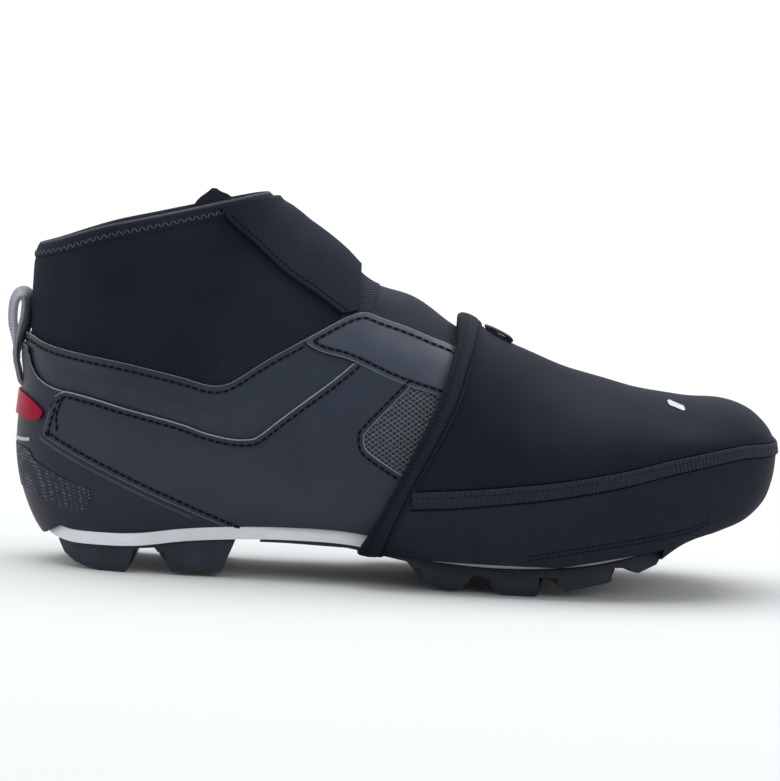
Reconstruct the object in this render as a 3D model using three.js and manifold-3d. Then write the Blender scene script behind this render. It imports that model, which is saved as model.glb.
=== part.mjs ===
// A right cycling shoe for off-road pedals with a neoprene toe overshoe pulled over its front half.
// Millimetres. +X runs from heel to toe, +Z up, and the outer side of the foot is at -Y.
// Every curved wall is cut from one of two forms: the shoe's last-shaped outside and the overshoe's inside.
import * as THREE from "three";
import { mergeVertices } from "three/addons/utils/BufferGeometryUtils.js";
import Module from "manifold-3d";

const wasm = await Module();
wasm.setup();

// Driving sizes of the shoe
const LENGTH = 292; // back of the heel to the tip of the toe, over the upper
const COLLAR_HEIGHT = 146; // floor to the front of the collar
const BALL_WIDTH = 98; // upper across the ball of the foot
const SOLE_RISE = 30; // how far the toe end of the sole plate is lifted off the floor
const SOLE_WIDTH = 92; // sole plate across the ball

// Walls and layers, each its own thickness
const UPPER_WALL = 2.0;
const CUFF_WALL = 3.0;
const FLAP_WALL = 2.6;
const TONGUE_WALL = 2.2;
const OVERLAY = 1.1;
const STRAP = 1.2;
const LABEL = 0.8;
const TAB_WALL = 1.6;
const INSOLE_THICKNESS = 4.0;
const PLATE_THICKNESS = 4.8;
const COVER_WALL = 2.8; // neoprene of the overshoe
const BINDING_LIP = 0.9; // how far the edge binding stands proud of the overshoe
const TAPE = 1.1;
const TAPE_WIDTH = 6.2;
const WEB_THICKNESS = 3.2; // rubber that joins the forefoot lugs
const HEEL_WEB = 1.2;
const GAP = 0.3; // between any two pieces
const SEAM_GAP = 0.3;

// Pull loop at the heel and pull tab of the overshoe
const LOOP_WIDTH = 11;
const LOOP_STRAP = 1.7;
const ARCH_STRAP = 1.1; // the binding where it passes under the arch
const PULL_WIDTH = 9;
const PULL_STRAP = 0.9;

// How finely the forms are drawn
const AROUND = 22; // points around a section, an even number
const ROW_STEPS = 1.1; // sections drawn for each row of a table
const BEYOND = 120; // a cutter reaches this far past what it cuts

// The tables hold shares: x of LENGTH, z of COLLAR_HEIGHT, centre and half of BALL_WIDTH.
// A section lies in the plane through its crest point and its low point; widest is the share of its
// height where it is widest, and the last two columns are how square it is above and below that.
const SECTION_COLUMNS = ["name", "crestX", "crestZ", "lowX", "lowZ", "centre", "half", "widest", "above", "below"];
const UPPER_SECTIONS = [
  ["toe tip", 0.999, 0.356, 0.999, 0.301, 0.082, 0.031, 0.5, 2.0, 2.0],
  ["toe nose", 0.994, 0.397, 0.994, 0.25, 0.082, 0.128, 0.5, 2.0, 2.2],
  ["toe cap front", 0.979, 0.442, 0.979, 0.199, 0.077, 0.23, 0.45, 2.1, 2.6],
  ["toe cap", 0.952, 0.476, 0.952, 0.151, 0.066, 0.321, 0.42, 2.2, 3.0],
  ["toe cap back", 0.911, 0.491, 0.911, 0.15, 0.049, 0.397, 0.4, 2.2, 3.0],
  ["vamp front", 0.853, 0.498, 0.853, 0.112, 0.026, 0.454, 0.38, 2.1, 2.8],
  ["vamp", 0.784, 0.524, 0.784, 0.05, 0.0, 0.488, 0.36, 2.0, 3.0],
  ["ball", 0.712, 0.568, 0.712, 0.007, -0.015, 0.495, 0.34, 1.9, 3.2],
  ["ball back", 0.644, 0.62, 0.644, 0.007, -0.031, 0.476, 0.32, 1.9, 3.2],
  ["instep low", 0.584, 0.688, 0.575, 0.021, -0.036, 0.444, 0.31, 1.9, 3.2],
  ["instep", 0.524, 0.755, 0.507, 0.048, -0.039, 0.408, 0.3, 1.9, 3.2],
  ["waist front", 0.479, 0.784, 0.435, 0.065, -0.033, 0.383, 0.3, 2.0, 3.2],
  ["waist", 0.452, 0.822, 0.356, 0.065, -0.022, 0.367, 0.31, 2.0, 3.2],
  ["waist back", 0.43, 0.863, 0.274, 0.055, -0.012, 0.362, 0.34, 2.0, 3.2],
  ["heel front", 0.411, 0.894, 0.188, 0.038, -0.006, 0.362, 0.38, 2.0, 3.2],
  ["heel seat", 0.394, 0.918, 0.11, 0.027, -0.002, 0.362, 0.42, 2.0, 3.0],
  ["heel corner", 0.378, 0.938, 0.052, 0.068, 0.0, 0.362, 0.45, 2.0, 2.6],
  ["heel low", 0.365, 0.957, 0.0185, 0.178, 0.0, 0.362, 0.47, 2.0, 2.3],
  ["heel back", 0.353, 0.973, 0.0048, 0.329, 0.0, 0.359, 0.48, 2.0, 2.15],
  ["heel high", 0.343, 0.984, 0.0105, 0.507, 0.0, 0.352, 0.49, 2.05, 2.1],
  ["ankle", 0.338, 0.994, 0.0055, 0.671, 0.0, 0.345, 0.5, 2.1, 2.1],
  ["collar", 0.334, 1.006, 0.0058, 0.82, 0.0, 0.342, 0.5, 2.1, 2.1],
  ["above collar", 0.331, 1.034, 0.006, 0.95, 0.0, 0.347, 0.5, 2.1, 2.1],
];
const COVER_SECTIONS = [
  ["tip", 1.007, 0.39, 1.007, 0.349, 0.082, 0.031, 0.6, 2.0, 2.0],
  ["nose", 1.003, 0.412, 1.003, 0.3, 0.082, 0.148, 0.8, 1.8, 2.4],
  ["toe front", 0.991, 0.444, 0.991, 0.243, 0.077, 0.25, 0.75, 1.8, 3.0],
  ["toe cap", 0.968, 0.477, 0.968, 0.205, 0.066, 0.335, 0.68, 1.9, 4.0],
  ["toe cap back", 0.935, 0.496, 0.935, 0.183, 0.056, 0.409, 0.63, 2.0, 4.6],
  ["vamp front", 0.884, 0.501, 0.884, 0.148, 0.036, 0.475, 0.6, 2.0, 4.8],
  ["vamp", 0.813, 0.52, 0.813, 0.041, 0.01, 0.512, 0.56, 1.95, 4.0],
  ["ball", 0.736, 0.558, 0.736, -0.03, -0.005, 0.521, 0.53, 1.9, 4.0],
  ["ball back", 0.668, 0.607, 0.668, -0.041, -0.02, 0.507, 0.47, 1.9, 4.0],
  ["instep low", 0.618, 0.652, 0.603, -0.007, -0.031, 0.488, 0.41, 2.1, 4.0],
  ["back edge", 0.591, 0.692, 0.521, 0.086, -0.036, 0.46, 0.36, 2.15, 6.0],
  ["behind edge", 0.567, 0.714, 0.459, 0.1, -0.036, 0.44, 0.34, 2.15, 8.0],
  ["under strap", 0.536, 0.74, 0.397, 0.102, -0.031, 0.424, 0.33, 2.1, 8.0],
];

// Outline of the sole plate: x is a share of LENGTH, outer and inner are shares of SOLE_WIDTH from the centre line.
const SOLE_OUTLINE = [
  ["heel end", 0.048, 0.0, 0.0],
  ["heel round", 0.053, 0.12, 0.12],
  ["heel corner", 0.068, 0.217, 0.217],
  ["heel back", 0.096, 0.288, 0.288],
  ["heel", 0.154, 0.342, 0.335],
  ["heel front", 0.223, 0.36, 0.337],
  ["waist back", 0.301, 0.369, 0.32],
  ["waist", 0.377, 0.383, 0.302],
  ["waist front", 0.449, 0.408, 0.312],
  ["ball back", 0.514, 0.44, 0.348],
  ["ball inner", 0.582, 0.47, 0.404],
  ["ball", 0.658, 0.49, 0.455],
  ["ball front", 0.726, 0.484, 0.478],
  ["vamp", 0.795, 0.444, 0.478],
  ["toe cap back", 0.863, 0.358, 0.443],
  ["toe cap", 0.918, 0.25, 0.37],
  ["toe corner", 0.952, 0.14, 0.29],
  ["toe round", 0.969, 0.03, 0.21],
  ["toe end", 0.974, -0.087, 0.087],
];

// Underside of the sole plate seen from the side: x is a share of LENGTH, z of SOLE_RISE.
const PLATE_UNDERSIDE = [
  ["heel end", 0.048, 0.41],
  ["heel back", 0.075, 0.355],
  ["heel", 0.103, 0.335],
  ["heel front", 0.171, 0.355],
  ["arch back", 0.235, 0.45],
  ["arch rise", 0.3, 0.507],
  ["arch", 0.37, 0.535],
  ["arch front", 0.449, 0.525],
  ["shank front", 0.514, 0.435],
  ["ball back", 0.582, 0.352],
  ["ball", 0.66, 0.33],
  ["ball front", 0.74, 0.38],
  ["toe rise", 0.805, 0.487],
  ["toe lift", 0.86, 0.66],
  ["toe cap", 0.911, 0.925],
  ["toe corner", 0.945, 1.08],
  ["toe end", 0.98, 1.17],
];

// Rubber seen from the side, from the back of each piece to its front: x is a share of LENGTH, z of SOLE_RISE.
const HEEL_TREAD = [
  ["rear lug back", 0.067, 0.33],
  ["rear lug round", 0.076, 0.183],
  ["rear lug low", 0.092, 0.083],
  ["rear lug toe-in", 0.109, 0.03],
  ["rear flat start", 0.125, 0.0],
  ["rear flat end", 0.159, 0.0],
  ["rear lug front", 0.163, 0.04],
  ["gap back", 0.17, 0.315],
  ["gap front", 0.197, 0.34],
  ["front lug back", 0.2205, 0.047],
  ["front lug front", 0.286, 0.075],
  ["front lug top", 0.3015, 0.46],
];
const FOREFOOT_TREAD = [
  ["arch back", 0.335, 0.487],
  ["arch", 0.37, 0.49],
  ["arch front", 0.449, 0.477],
  ["shank front", 0.5, 0.4],
  ["first lug back", 0.528, 0.355],
  ["first lug heel side", 0.551, 0.107],
  ["first lug low", 0.575, 0.05],
  ["first lug front", 0.596, 0.04],
  ["first lug corner", 0.604, 0.08],
  ["first gap back", 0.616, 0.235],
  ["first gap front", 0.629, 0.225],
  ["second lug back", 0.643, 0.06],
  ["second flat start", 0.655, 0.0],
  ["second flat end", 0.696, 0.0],
  ["second lug front", 0.702, 0.04],
  ["second gap back", 0.707, 0.21],
  ["second gap front", 0.716, 0.217],
  ["third lug back", 0.736, 0.08],
  ["third lug front", 0.793, 0.207],
  ["third lug corner", 0.799, 0.273],
  ["third gap back", 0.802, 0.375],
  ["third gap front", 0.807, 0.387],
  ["fourth lug back", 0.831, 0.33],
  ["fourth lug front", 0.855, 0.437],
  ["fourth lug top", 0.862, 0.555],
];
const TREAD_INSET = 1.5; // rubber inside the edge of the plate
const CLEAT_CHANNEL = { back: 0.5, front: 0.757, width: 34 };
const HEEL_CHANNEL = { back: 0.182, front: 0.32, width: 17 };
const TOE_CHANNEL = { back: 0.806, front: 0.88, width: 13 };
const LUG_CHAMFER = 5.5; // cut off the outer back corner of a lug, along the shoe
const LUG_CHAMFER_DEPTH = 9; // the same cut, across the shoe
const LUG_STARTS = [0.54, 0.632, 0.72, 0.815, 0.205]; // where those corners are, as shares of LENGTH

// Edges seen from the side, as shares: x of LENGTH, z of COLLAR_HEIGHT.
const TOPLINE = [
  [-0.04, 0.612], [0.014, 0.605], [0.031, 0.593], [0.053, 0.581], [0.087, 0.57], [0.154, 0.55], [0.221, 0.523],
  [0.254, 0.5065], [0.274, 0.5055], [0.294, 0.521], [0.336, 0.579], [0.38, 0.632], [0.416, 0.675], [0.439, 0.7],
  [0.459, 0.71], [0.481, 0.697], [0.515, 0.677], [0.548, 0.653], [0.582, 0.627], [0.634, 0.565], [0.685, 0.53],
  [0.715, 0.545], [0.73, 0.62],
];
const COLLAR_LINE = [[-0.05, 0.812], [0.014, 0.836], [0.046, 0.852], [0.112, 0.898], [0.177, 0.931], [0.276, 0.981], [0.328, 1.003], [0.45, 1.03]];
const CUFF_FRONT = [[0.415, 0.6], [0.437, 0.7], [0.449, 0.77], [0.455, 0.9]];
const CUFF_TUCK = 0.075; // how far the cuff goes down inside the upper
const PANEL_TUCK = 7; // how far the panels of the shoe run on under the overshoe, in millimetres
const FLAP_EDGE = [[0.255, 1.02], [0.271, 0.951], [0.312, 0.879], [0.354, 0.807], [0.396, 0.755], [0.43, 0.708]];
const FLAP_FOOT = [[0.449, 0.717], [0.459, 0.75], [0.466, 0.79], [0.47, 0.84]];
const INNER_FLAP_EDGE = [[0.2, 1.02], [0.215, 0.93], [0.25, 0.82], [0.3, 0.72], [0.36, 0.68], [0.42, 0.7]];
const TONGUE_END = 0.735;
const COUNTER_TOP = [
  [-0.04, 0.585], [0.01, 0.575], [0.016, 0.555], [0.022, 0.522], [0.031, 0.497], [0.045, 0.48], [0.06, 0.471], [0.079, 0.465],
];
const QUARTER_TOP = [
  [0.058, 0.452], [0.066, 0.464], [0.076, 0.467], [0.112, 0.454], [0.157, 0.432], [0.224, 0.402], [0.257, 0.3815],
  [0.29, 0.369], [0.311, 0.3685], [0.327, 0.378], [0.355, 0.425], [0.387, 0.477], [0.42, 0.53], [0.448, 0.58],
];
const QUARTER_BACK = [[0.302, 0.128], [0.204, 0.205], [0.107, 0.288], [0.05, 0.343], [0.045, 0.355], [0.046, 0.375], [0.052, 0.42]];
const EYESTAY_LOW = [[0.38, 0.633], [0.404, 0.609], [0.444, 0.59], [0.501, 0.545], [0.56, 0.511], [0.62, 0.475]];
const MESH_WINDOW = [
  [0.6, 0.62], [0.523, 0.531], [0.47, 0.414], [0.465, 0.393], [0.466, 0.372], [0.474, 0.353], [0.511, 0.308],
  [0.55, 0.27], [0.6, 0.27],
];
const LABEL_OUTLINE = [
  [-0.03, 0.462], [0.004, 0.455], [0.021, 0.441], [0.035, 0.423], [0.041, 0.41], [0.039, 0.396], [0.033, 0.386],
  [0.02, 0.384], [0.004, 0.392], [-0.03, 0.4],
];
const TAB_OUTLINE = [[0.212, 0.8], [0.216, 0.945], [0.238, 0.998], [0.245, 1.006], [0.253, 1.0], [0.276, 0.965], [0.292, 0.8]];
const SEAM_LINE = [
  [0.4, 0.212], [0.514, 0.238], [0.58, 0.25], [0.644, 0.266], [0.72, 0.289], [0.798, 0.321], [0.873, 0.361],
  [0.95, 0.392], [0.99, 0.396], [1.06, 0.392],
];
const HEM_LINE = [
  [0.4, 0.09], [0.519, 0.079], [0.548, 0.058], [0.582, 0.056], [0.649, 0.0705], [0.713, 0.082], [0.777, 0.099],
  [0.828, 0.119], [0.861, 0.136], [0.868, -0.1], [1.1, -0.1],
];
const BINDING_BACK = [[0.578, 0.75], [0.5805, 0.657], [0.571, 0.573], [0.561, 0.503], [0.5435, 0.418], [0.52, 0.316], [0.496, 0.217], [0.472, 0.128], [0.45, 0.06], [0.45, -0.1]];
const BINDING_FRONT = [[0.612, 0.75], [0.606, 0.662], [0.598, 0.583], [0.585, 0.477], [0.564, 0.384], [0.54, 0.29], [0.517, 0.183], [0.493, 0.086], [0.493, -0.1]];

// Heel loop, two strands of one strap: height as a share of COLLAR_HEIGHT, then how far its middle stands
// behind the face of the heel counter, in millimetres. Above the leather the strap leans in to the cuff.
const LOOP_OUTER = [
  [0.4815, 1.4], [0.507, 1.95], [0.541, 2.55], [0.582, 3.0], [0.623, 3.6], [0.661, 3.6], [0.687, 3.1], [0.704, 1.9],
  [0.7095, 0.1], [0.703, -1.6], [0.687, -2.3],
];
const LOOP_INNER = [[0.69, -2.3], [0.664, -2.3], [0.637, -1.8], [0.613, -0.6], [0.5925, 0.65], [0.5685, 1.6], [0.548, 2.4]];

// Pull tab of the overshoe, a flat loop: x as a share of LENGTH, then how high it stands off the instep, in millimetres
const PULL_LOWER = [[0.6195, 0.85], [0.652, 0.85]];
const PULL_UPPER = [[0.618, 1.15], [0.627, 2.3], [0.64, 2.75], [0.6505, 2.4], [0.6545, 1.65], [0.651, 0.95]];

const inLength = (share) => share * LENGTH;
const inHeight = (share) => share * COLLAR_HEIGHT;
const sidePoints = (table) => table.map(([x, z]) => new THREE.Vector2(inLength(x), inHeight(z)));
const solePoints = (table) => table.map(([, x, z]) => new THREE.Vector2(inLength(x), z * SOLE_RISE));
const moved = (points, dx, dz) => points.map((p) => new THREE.Vector2(p.x + dx, p.y + dz));

// A closed outline with its edge moved out by a distance
function grown(points, distance) {
  const turn = Math.sign(THREE.ShapeUtils.area(points)) * distance;
  return points.map((p, i) => {
    const after = points[(i + 1) % points.length];
    const before = points[(i + points.length - 1) % points.length];
    const onward = after.clone().sub(before).normalize();
    return new THREE.Vector2(p.x + onward.y * turn, p.y - onward.x * turn);
  });
}

// A closed three.js geometry as a solid, facing outwards
function solidOf(geometry) {
  const bare = geometry.index ? geometry.toNonIndexed() : geometry.clone();
  bare.deleteAttribute("normal");
  bare.deleteAttribute("uv");
  const merged = mergeVertices(bare, 1e-4);
  const build = (triVerts) =>
    new wasm.Manifold(
      new wasm.Mesh({ numProp: 3, vertProperties: merged.attributes.position.array, triVerts }),
    );
  const faces = new Uint32Array(merged.index.array);
  const solid = build(faces);
  return solid.volume() < 0 ? build(faces.reverse()) : solid;
}

function meshOf(name, solid, material) {
  const made = solid.getMesh();
  const positions = new Float32Array(made.numVert * 3);
  for (let i = 0; i < made.numVert; i++) {
    positions.set(made.vertProperties.subarray(i * made.numProp, i * made.numProp + 3), i * 3);
  }
  const geometry = new THREE.BufferGeometry();
  geometry.setAttribute("position", new THREE.BufferAttribute(positions, 3));
  geometry.setIndex(new THREE.BufferAttribute(new Uint32Array(made.triVerts), 1));
  geometry.computeVertexNormals();
  const mesh = new THREE.Mesh(geometry, material);
  mesh.name = name;
  return mesh;
}

// The largest piece of a solid that a cut has left in several
function largest(solid) {
  return solid.decompose().reduce((best, piece) => (piece.volume() > best.volume() ? piece : best));
}

// Value between the rows of a table, on a smooth curve through them
function between(values, at) {
  const row = Math.min(Math.floor(at), values.length - 2);
  const t = at - row;
  const before = values[Math.max(row - 1, 0)];
  const [from, to] = [values[row], values[row + 1]];
  const after = values[Math.min(row + 2, values.length - 1)];
  return 0.5 * (2 * from + (to - before) * t + (2 * before - 5 * from + 4 * to - after) * t * t
    + (3 * from - before - 3 * to + after) * t * t * t);
}

function smooth(points, steps) {
  const xs = points.map((p) => p.x);
  const ys = points.map((p) => p.y);
  const count = (points.length - 1) * steps;
  return Array.from({ length: count + 1 }, (_, i) => new THREE.Vector2(between(xs, i / steps), between(ys, i / steps)));
}

// One section of a form as a ring of points, from its crest down the outer side and back up the inner side
function sectionRing(section) {
  const crest = new THREE.Vector3(inLength(section.crestX), 0, inHeight(section.crestZ));
  const low = new THREE.Vector3(inLength(section.lowX), 0, inHeight(section.lowZ));
  const middle = low.clone().lerp(crest, section.widest);
  return Array.from({ length: AROUND }, (_, i) => {
    const turn = (2 * Math.PI * i) / AROUND;
    const [up, out] = [Math.cos(turn), -Math.sin(turn)];
    const power = up > 0 ? section.above : section.below;
    const radius = (Math.abs(up) ** power + Math.abs(out) ** power) ** (-1 / power);
    const point = middle.clone().lerp(up > 0 ? crest : low, Math.abs(up) * radius);
    point.y = (section.centre + section.half * out * radius) * BALL_WIDTH;
    return point;
  });
}

// The rings of a form, moved out along its surface by a distance
function formRings(table, distance) {
  const columns = SECTION_COLUMNS.slice(1).map((_, c) => table.map((row) => row[c + 1]));
  const count = Math.round((table.length - 1) * ROW_STEPS);
  const rings = Array.from({ length: count + 1 }, (_, i) =>
    sectionRing(Object.fromEntries(columns.map((values, c) => [SECTION_COLUMNS[c + 1], between(values, (i * (table.length - 1)) / count)]))));
  return rings.map((ring, i) => ring.map((point, j) => {
    const along = rings[Math.min(i + 1, count)][j].clone().sub(rings[Math.max(i - 1, 0)][j]);
    const around = ring[(j + 1) % AROUND].clone().sub(ring[(j + AROUND - 1) % AROUND]);
    return point.clone().addScaledVector(along.cross(around).normalize(), distance);
  }));
}

// A solid through rings of equal count, closed at both ends
function loft(rings) {
  const points = rings.flat();
  const faces = [];
  const size = rings[0].length;
  for (let i = 0; i + 1 < rings.length; i++) {
    for (let j = 0; j < size; j++) {
      const [a, b] = [i * size + j, i * size + ((j + 1) % size)];
      faces.push(a, b, a + size, b, b + size, a + size);
    }
  }
  [0, rings.length - 1].forEach((i) => {
    const centre = rings[i].reduce((sum, p) => sum.add(p), new THREE.Vector3()).divideScalar(size);
    points.push(centre);
    for (let j = 0; j < size; j++) {
      const pair = [i * size + j, i * size + ((j + 1) % size)];
      faces.push(...(i === 0 ? pair.reverse() : pair), points.length - 1);
    }
  });
  const geometry = new THREE.BufferGeometry().setFromPoints(points);
  geometry.setIndex(faces);
  return solidOf(geometry);
}

const cache = new Map();
function form(name, table, distance) {
  const key = `${name} ${distance.toFixed(4)}`;
  if (!cache.has(key)) cache.set(key, loft(formRings(table, distance)));
  return cache.get(key);
}
const upperForm = (distance) => form("upper", UPPER_SECTIONS, distance);
const coverForm = (distance) => form("cover", COVER_SECTIONS, distance);
const shell = (makeForm, inner, outer) => makeForm(outer).subtract(makeForm(inner));

// A prism across the shoe from a side view, and one up through it from a plan
function acrossPrism(points, from = -BEYOND, to = BEYOND) {
  const geometry = new THREE.ExtrudeGeometry(new THREE.Shape(points), { depth: to - from, bevelEnabled: false });
  geometry.rotateX(Math.PI / 2);
  geometry.translate(0, to, 0);
  return solidOf(geometry);
}
function upPrism(points, from = -BEYOND, to = BEYOND) {
  const geometry = new THREE.ExtrudeGeometry(new THREE.Shape(points), { depth: to - from, bevelEnabled: false });
  geometry.translate(0, 0, from);
  return solidOf(geometry);
}
function box(fromX, toX, fromY, toY, fromZ, toZ) {
  const geometry = new THREE.BoxGeometry(toX - fromX, toY - fromY, toZ - fromZ);
  geometry.translate((fromX + toX) / 2, (fromY + toY) / 2, (fromZ + toZ) / 2);
  return solidOf(geometry);
}

// All that lies below, or above, an open side line that runs from heel to toe
function below(line, dz = 0) {
  const [first, last] = [line[0], line.at(-1)];
  return acrossPrism([
    ...moved(line, 0, dz),
    new THREE.Vector2(last.x, -BEYOND),
    new THREE.Vector2(first.x, -BEYOND),
  ]);
}
function above(line, dz = 0) {
  const [first, last] = [line[0], line.at(-1)];
  return acrossPrism([
    ...moved(line, 0, dz),
    new THREE.Vector2(last.x, 2 * BEYOND),
    new THREE.Vector2(first.x, 2 * BEYOND),
  ]);
}
// All that lies in front of a side line that runs down
function inFront(line, dx = 0) {
  const [first, last] = [line[0], line.at(-1)];
  return acrossPrism([
    ...moved(line, dx, 0),
    new THREE.Vector2(LENGTH + BEYOND, last.y),
    new THREE.Vector2(LENGTH + BEYOND, first.y),
  ]);
}
const outerSide = box(-BEYOND, LENGTH + BEYOND, -BEYOND, 0, -BEYOND, 2 * BEYOND);
const innerSide = box(-BEYOND, LENGTH + BEYOND, 0, BEYOND, -BEYOND, 2 * BEYOND);

// Sole
const underside = smooth(solePoints(PLATE_UNDERSIDE), 2);
const plateTop = moved(underside, 0, PLATE_THICKNESS);
const topAt = (x) => {
  const i = Math.max(1, plateTop.findIndex((p) => p.x >= x));
  const [a, b] = [plateTop[i - 1], plateTop[i]];
  return a.y + ((b.y - a.y) * (x - a.x)) / (b.x - a.x);
};

function outline(inset) {
  const side = (column, sign) => smooth(
    SOLE_OUTLINE.map((row) => new THREE.Vector2(inLength(row[1]), sign * row[column] * SOLE_WIDTH)), 2);
  return grown([...side(2, -1), ...side(3, 1).slice(1, -1).reverse()], -inset);
}
function soleSlab(top, bottom, inset, grow = 0) {
  const band = acrossPrism([...moved(top, 0, grow), ...moved(bottom, 0, -grow).reverse()]);
  return band.intersect(upPrism(outline(inset - grow)));
}

function plate() {
  return soleSlab(plateTop, underside, 0);
}

function lugCorners() {
  const cuts = [];
  LUG_STARTS.forEach((start) => {
    const x = inLength(start);
    [-1, 1].forEach((side) => {
      const edge = (side * SOLE_WIDTH) / 2;
      const ends = outlineHalf(x, side);
      cuts.push(upPrism([
        new THREE.Vector2(x - LUG_CHAMFER, ends + side * 2),
        new THREE.Vector2(x + LUG_CHAMFER, ends + side * 2),
        new THREE.Vector2(x - LUG_CHAMFER, ends - side * LUG_CHAMFER_DEPTH),
      ], -BEYOND, lugCutTop(x, edge)));
    });
  });
  return cuts;
}
// Edge of the plate at x, on the outer side for -1 and the inner side for 1
function outlineHalf(x, side) {
  const column = side < 0 ? 2 : 3;
  const row = SOLE_OUTLINE.findIndex((r) => inLength(r[1]) >= x);
  const [a, b] = [SOLE_OUTLINE[row - 1], SOLE_OUTLINE[row]];
  const t = (x - inLength(a[1])) / (inLength(b[1]) - inLength(a[1]));
  return side * SOLE_WIDTH * (a[column] + (b[column] - a[column]) * t);
}
const lugCutTop = (x) => topAt(x) - PLATE_THICKNESS - GAP - WEB_THICKNESS;

function tread(table, web, channels) {
  const low = solePoints(table);
  const [back, front] = [low[0].x, low.at(-1).x];
  const ceiling = moved(underside, 0, -GAP).filter((p) => p.x > back && p.x < front);
  const ends = [back, front].map((x) => new THREE.Vector2(x, topAt(x) - PLATE_THICKNESS - GAP));
  const profile = acrossPrism([...low, ends[1], ...ceiling.reverse(), ends[0]]);
  let rubber = profile.intersect(upPrism(outline(TREAD_INSET)));
  const webTop = moved(underside, 0, -GAP - web);
  channels.forEach(({ back: from, front: to, width }) => {
    const cut = below(webTop).intersect(box(inLength(from), inLength(to), -width / 2, width / 2, -BEYOND, BEYOND));
    rubber = rubber.subtract(cut);
  });
  lugCorners().forEach((cut) => {
    rubber = rubber.subtract(cut);
  });
  return largest(rubber);
}

// Everything of the sole, a little larger, for what has to stay clear of it
const soleKeepout = soleSlab(plateTop, underside, 0, GAP);
const treadKeepout = [HEEL_TREAD, FOREFOOT_TREAD].map((table) => {
  const low = solePoints(table);
  const side = [...low, new THREE.Vector2(low.at(-1).x, topAt(low.at(-1).x)), new THREE.Vector2(low[0].x, topAt(low[0].x))];
  return acrossPrism(grown(side, GAP)).intersect(upPrism(outline(TREAD_INSET - GAP)));
});

// Shoe
const topline = sidePoints(TOPLINE);
const feather = moved(plateTop, 0, GAP);
const aboveSole = above([new THREE.Vector2(-BEYOND, feather[0].y), ...feather, new THREE.Vector2(LENGTH + BEYOND, feather.at(-1).y)]);
const tongueFace = -UPPER_WALL - GAP;

function upper() {
  const open = above(topline).intersect(box(-BEYOND, topline.at(-1).x, -BEYOND, BEYOND, 0, 2 * BEYOND));
  const throatEnd = topline.at(-1);
  const rest = box(throatEnd.x - 1, LENGTH + BEYOND, -BEYOND, BEYOND, throatEnd.y, 2 * BEYOND);
  const opening = open.subtract(rest.intersect(box(throatEnd.x, LENGTH + BEYOND, -BEYOND, BEYOND, 0, 2 * BEYOND)));
  return largest(shell(upperForm, -UPPER_WALL, 0).intersect(aboveSole).subtract(opening));
}

function cuffRegion() {
  const collar = sidePoints(COLLAR_LINE);
  const foot = moved(topline.filter((p) => p.x < inLength(CUFF_FRONT[0][0] - 0.01)), 0, -inHeight(CUFF_TUCK));
  return acrossPrism([...foot, ...sidePoints(CUFF_FRONT), ...collar.reverse()]);
}
function cuff() {
  return largest(shell(upperForm, tongueFace - CUFF_WALL, tongueFace).intersect(cuffRegion()));
}

function flap() {
  const collar = sidePoints(COLLAR_LINE);
  const layer = shell(upperForm, tongueFace + GAP, tongueFace + GAP + FLAP_WALL);
  const region = (edge) => {
    const line = sidePoints(edge);
    return acrossPrism([...line, ...sidePoints(FLAP_FOOT), collar.at(-1)]).intersect(below(collar));
  };
  const clearOfUpper = below(moved(topline, 0, GAP));
  const halves = region(FLAP_EDGE).intersect(outerSide).add(region(INNER_FLAP_EDGE).intersect(innerSide));
  return largest(layer.intersect(halves).subtract(clearOfUpper));
}

function tongue() {
  const back = sidePoints(CUFF_FRONT);
  const region = acrossPrism([
    ...moved(back, GAP, 0),
    new THREE.Vector2(inLength(TONGUE_END), back.at(-1).y),
    new THREE.Vector2(inLength(TONGUE_END), back[0].y - inHeight(0.15)),
    new THREE.Vector2(back[0].x + inLength(0.03), back[0].y - inHeight(0.12)),
  ]);
  return largest(shell(upperForm, tongueFace - TONGUE_WALL, tongueFace).intersect(region));
}

function insole() {
  const inside = upperForm(-UPPER_WALL - GAP);
  const line = [new THREE.Vector2(-BEYOND, plateTop[0].y), ...plateTop, new THREE.Vector2(LENGTH + BEYOND, plateTop.at(-1).y)];
  return largest(inside.intersect(above(line, GAP)).intersect(below(line, GAP + INSOLE_THICKNESS)));
}

const bindingBack = sidePoints(BINDING_BACK);
const bindingFront = sidePoints(BINDING_FRONT);

// A thin piece that lies on the upper inside a side outline
function overlay(region, thickness, lift = GAP) {
  return shell(upperForm, lift, lift + thickness).intersect(region).intersect(aboveSole);
}
const mirrorParts = (solid) => [largest(solid.intersect(outerSide)), largest(solid.intersect(innerSide))];

// Outlines of the panels, each stopped under the overshoe
const underCover = inFront(moved(bindingFront, PANEL_TUCK, 0));
function quarterOutline() {
  const top = sidePoints(QUARTER_TOP);
  const ahead = sidePoints(EYESTAY_LOW).filter((p) => p.x > top.at(-1).x);
  return [...sidePoints(QUARTER_BACK), ...top, ...moved(ahead, 0, -GAP), new THREE.Vector2(ahead.at(-1).x, 0),
    new THREE.Vector2(inLength(QUARTER_BACK[0][0]), 0)];
}
function quarterRegion() {
  return acrossPrism(quarterOutline()).subtract(acrossPrism(grown(sidePoints(MESH_WINDOW), GAP))).subtract(underCover);
}
function eyestayRegion() {
  const low = sidePoints(EYESTAY_LOW);
  const top = topline.filter((p) => p.x > low[0].x && p.x < low.at(-1).x + inLength(0.02));
  return acrossPrism([...low, ...top.reverse()]).subtract(underCover);
}
function counterRegion() {
  const corner = inLength(QUARTER_BACK[0][0]) - GAP;
  const front = sidePoints(QUARTER_BACK).at(-1);
  const region = acrossPrism([
    new THREE.Vector2(-BEYOND, 0), new THREE.Vector2(corner, 0), new THREE.Vector2(corner, front.y),
    ...sidePoints(COUNTER_TOP).reverse(),
  ]);
  return region.subtract(acrossPrism(grown(quarterOutline(), GAP)));
}
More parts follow.
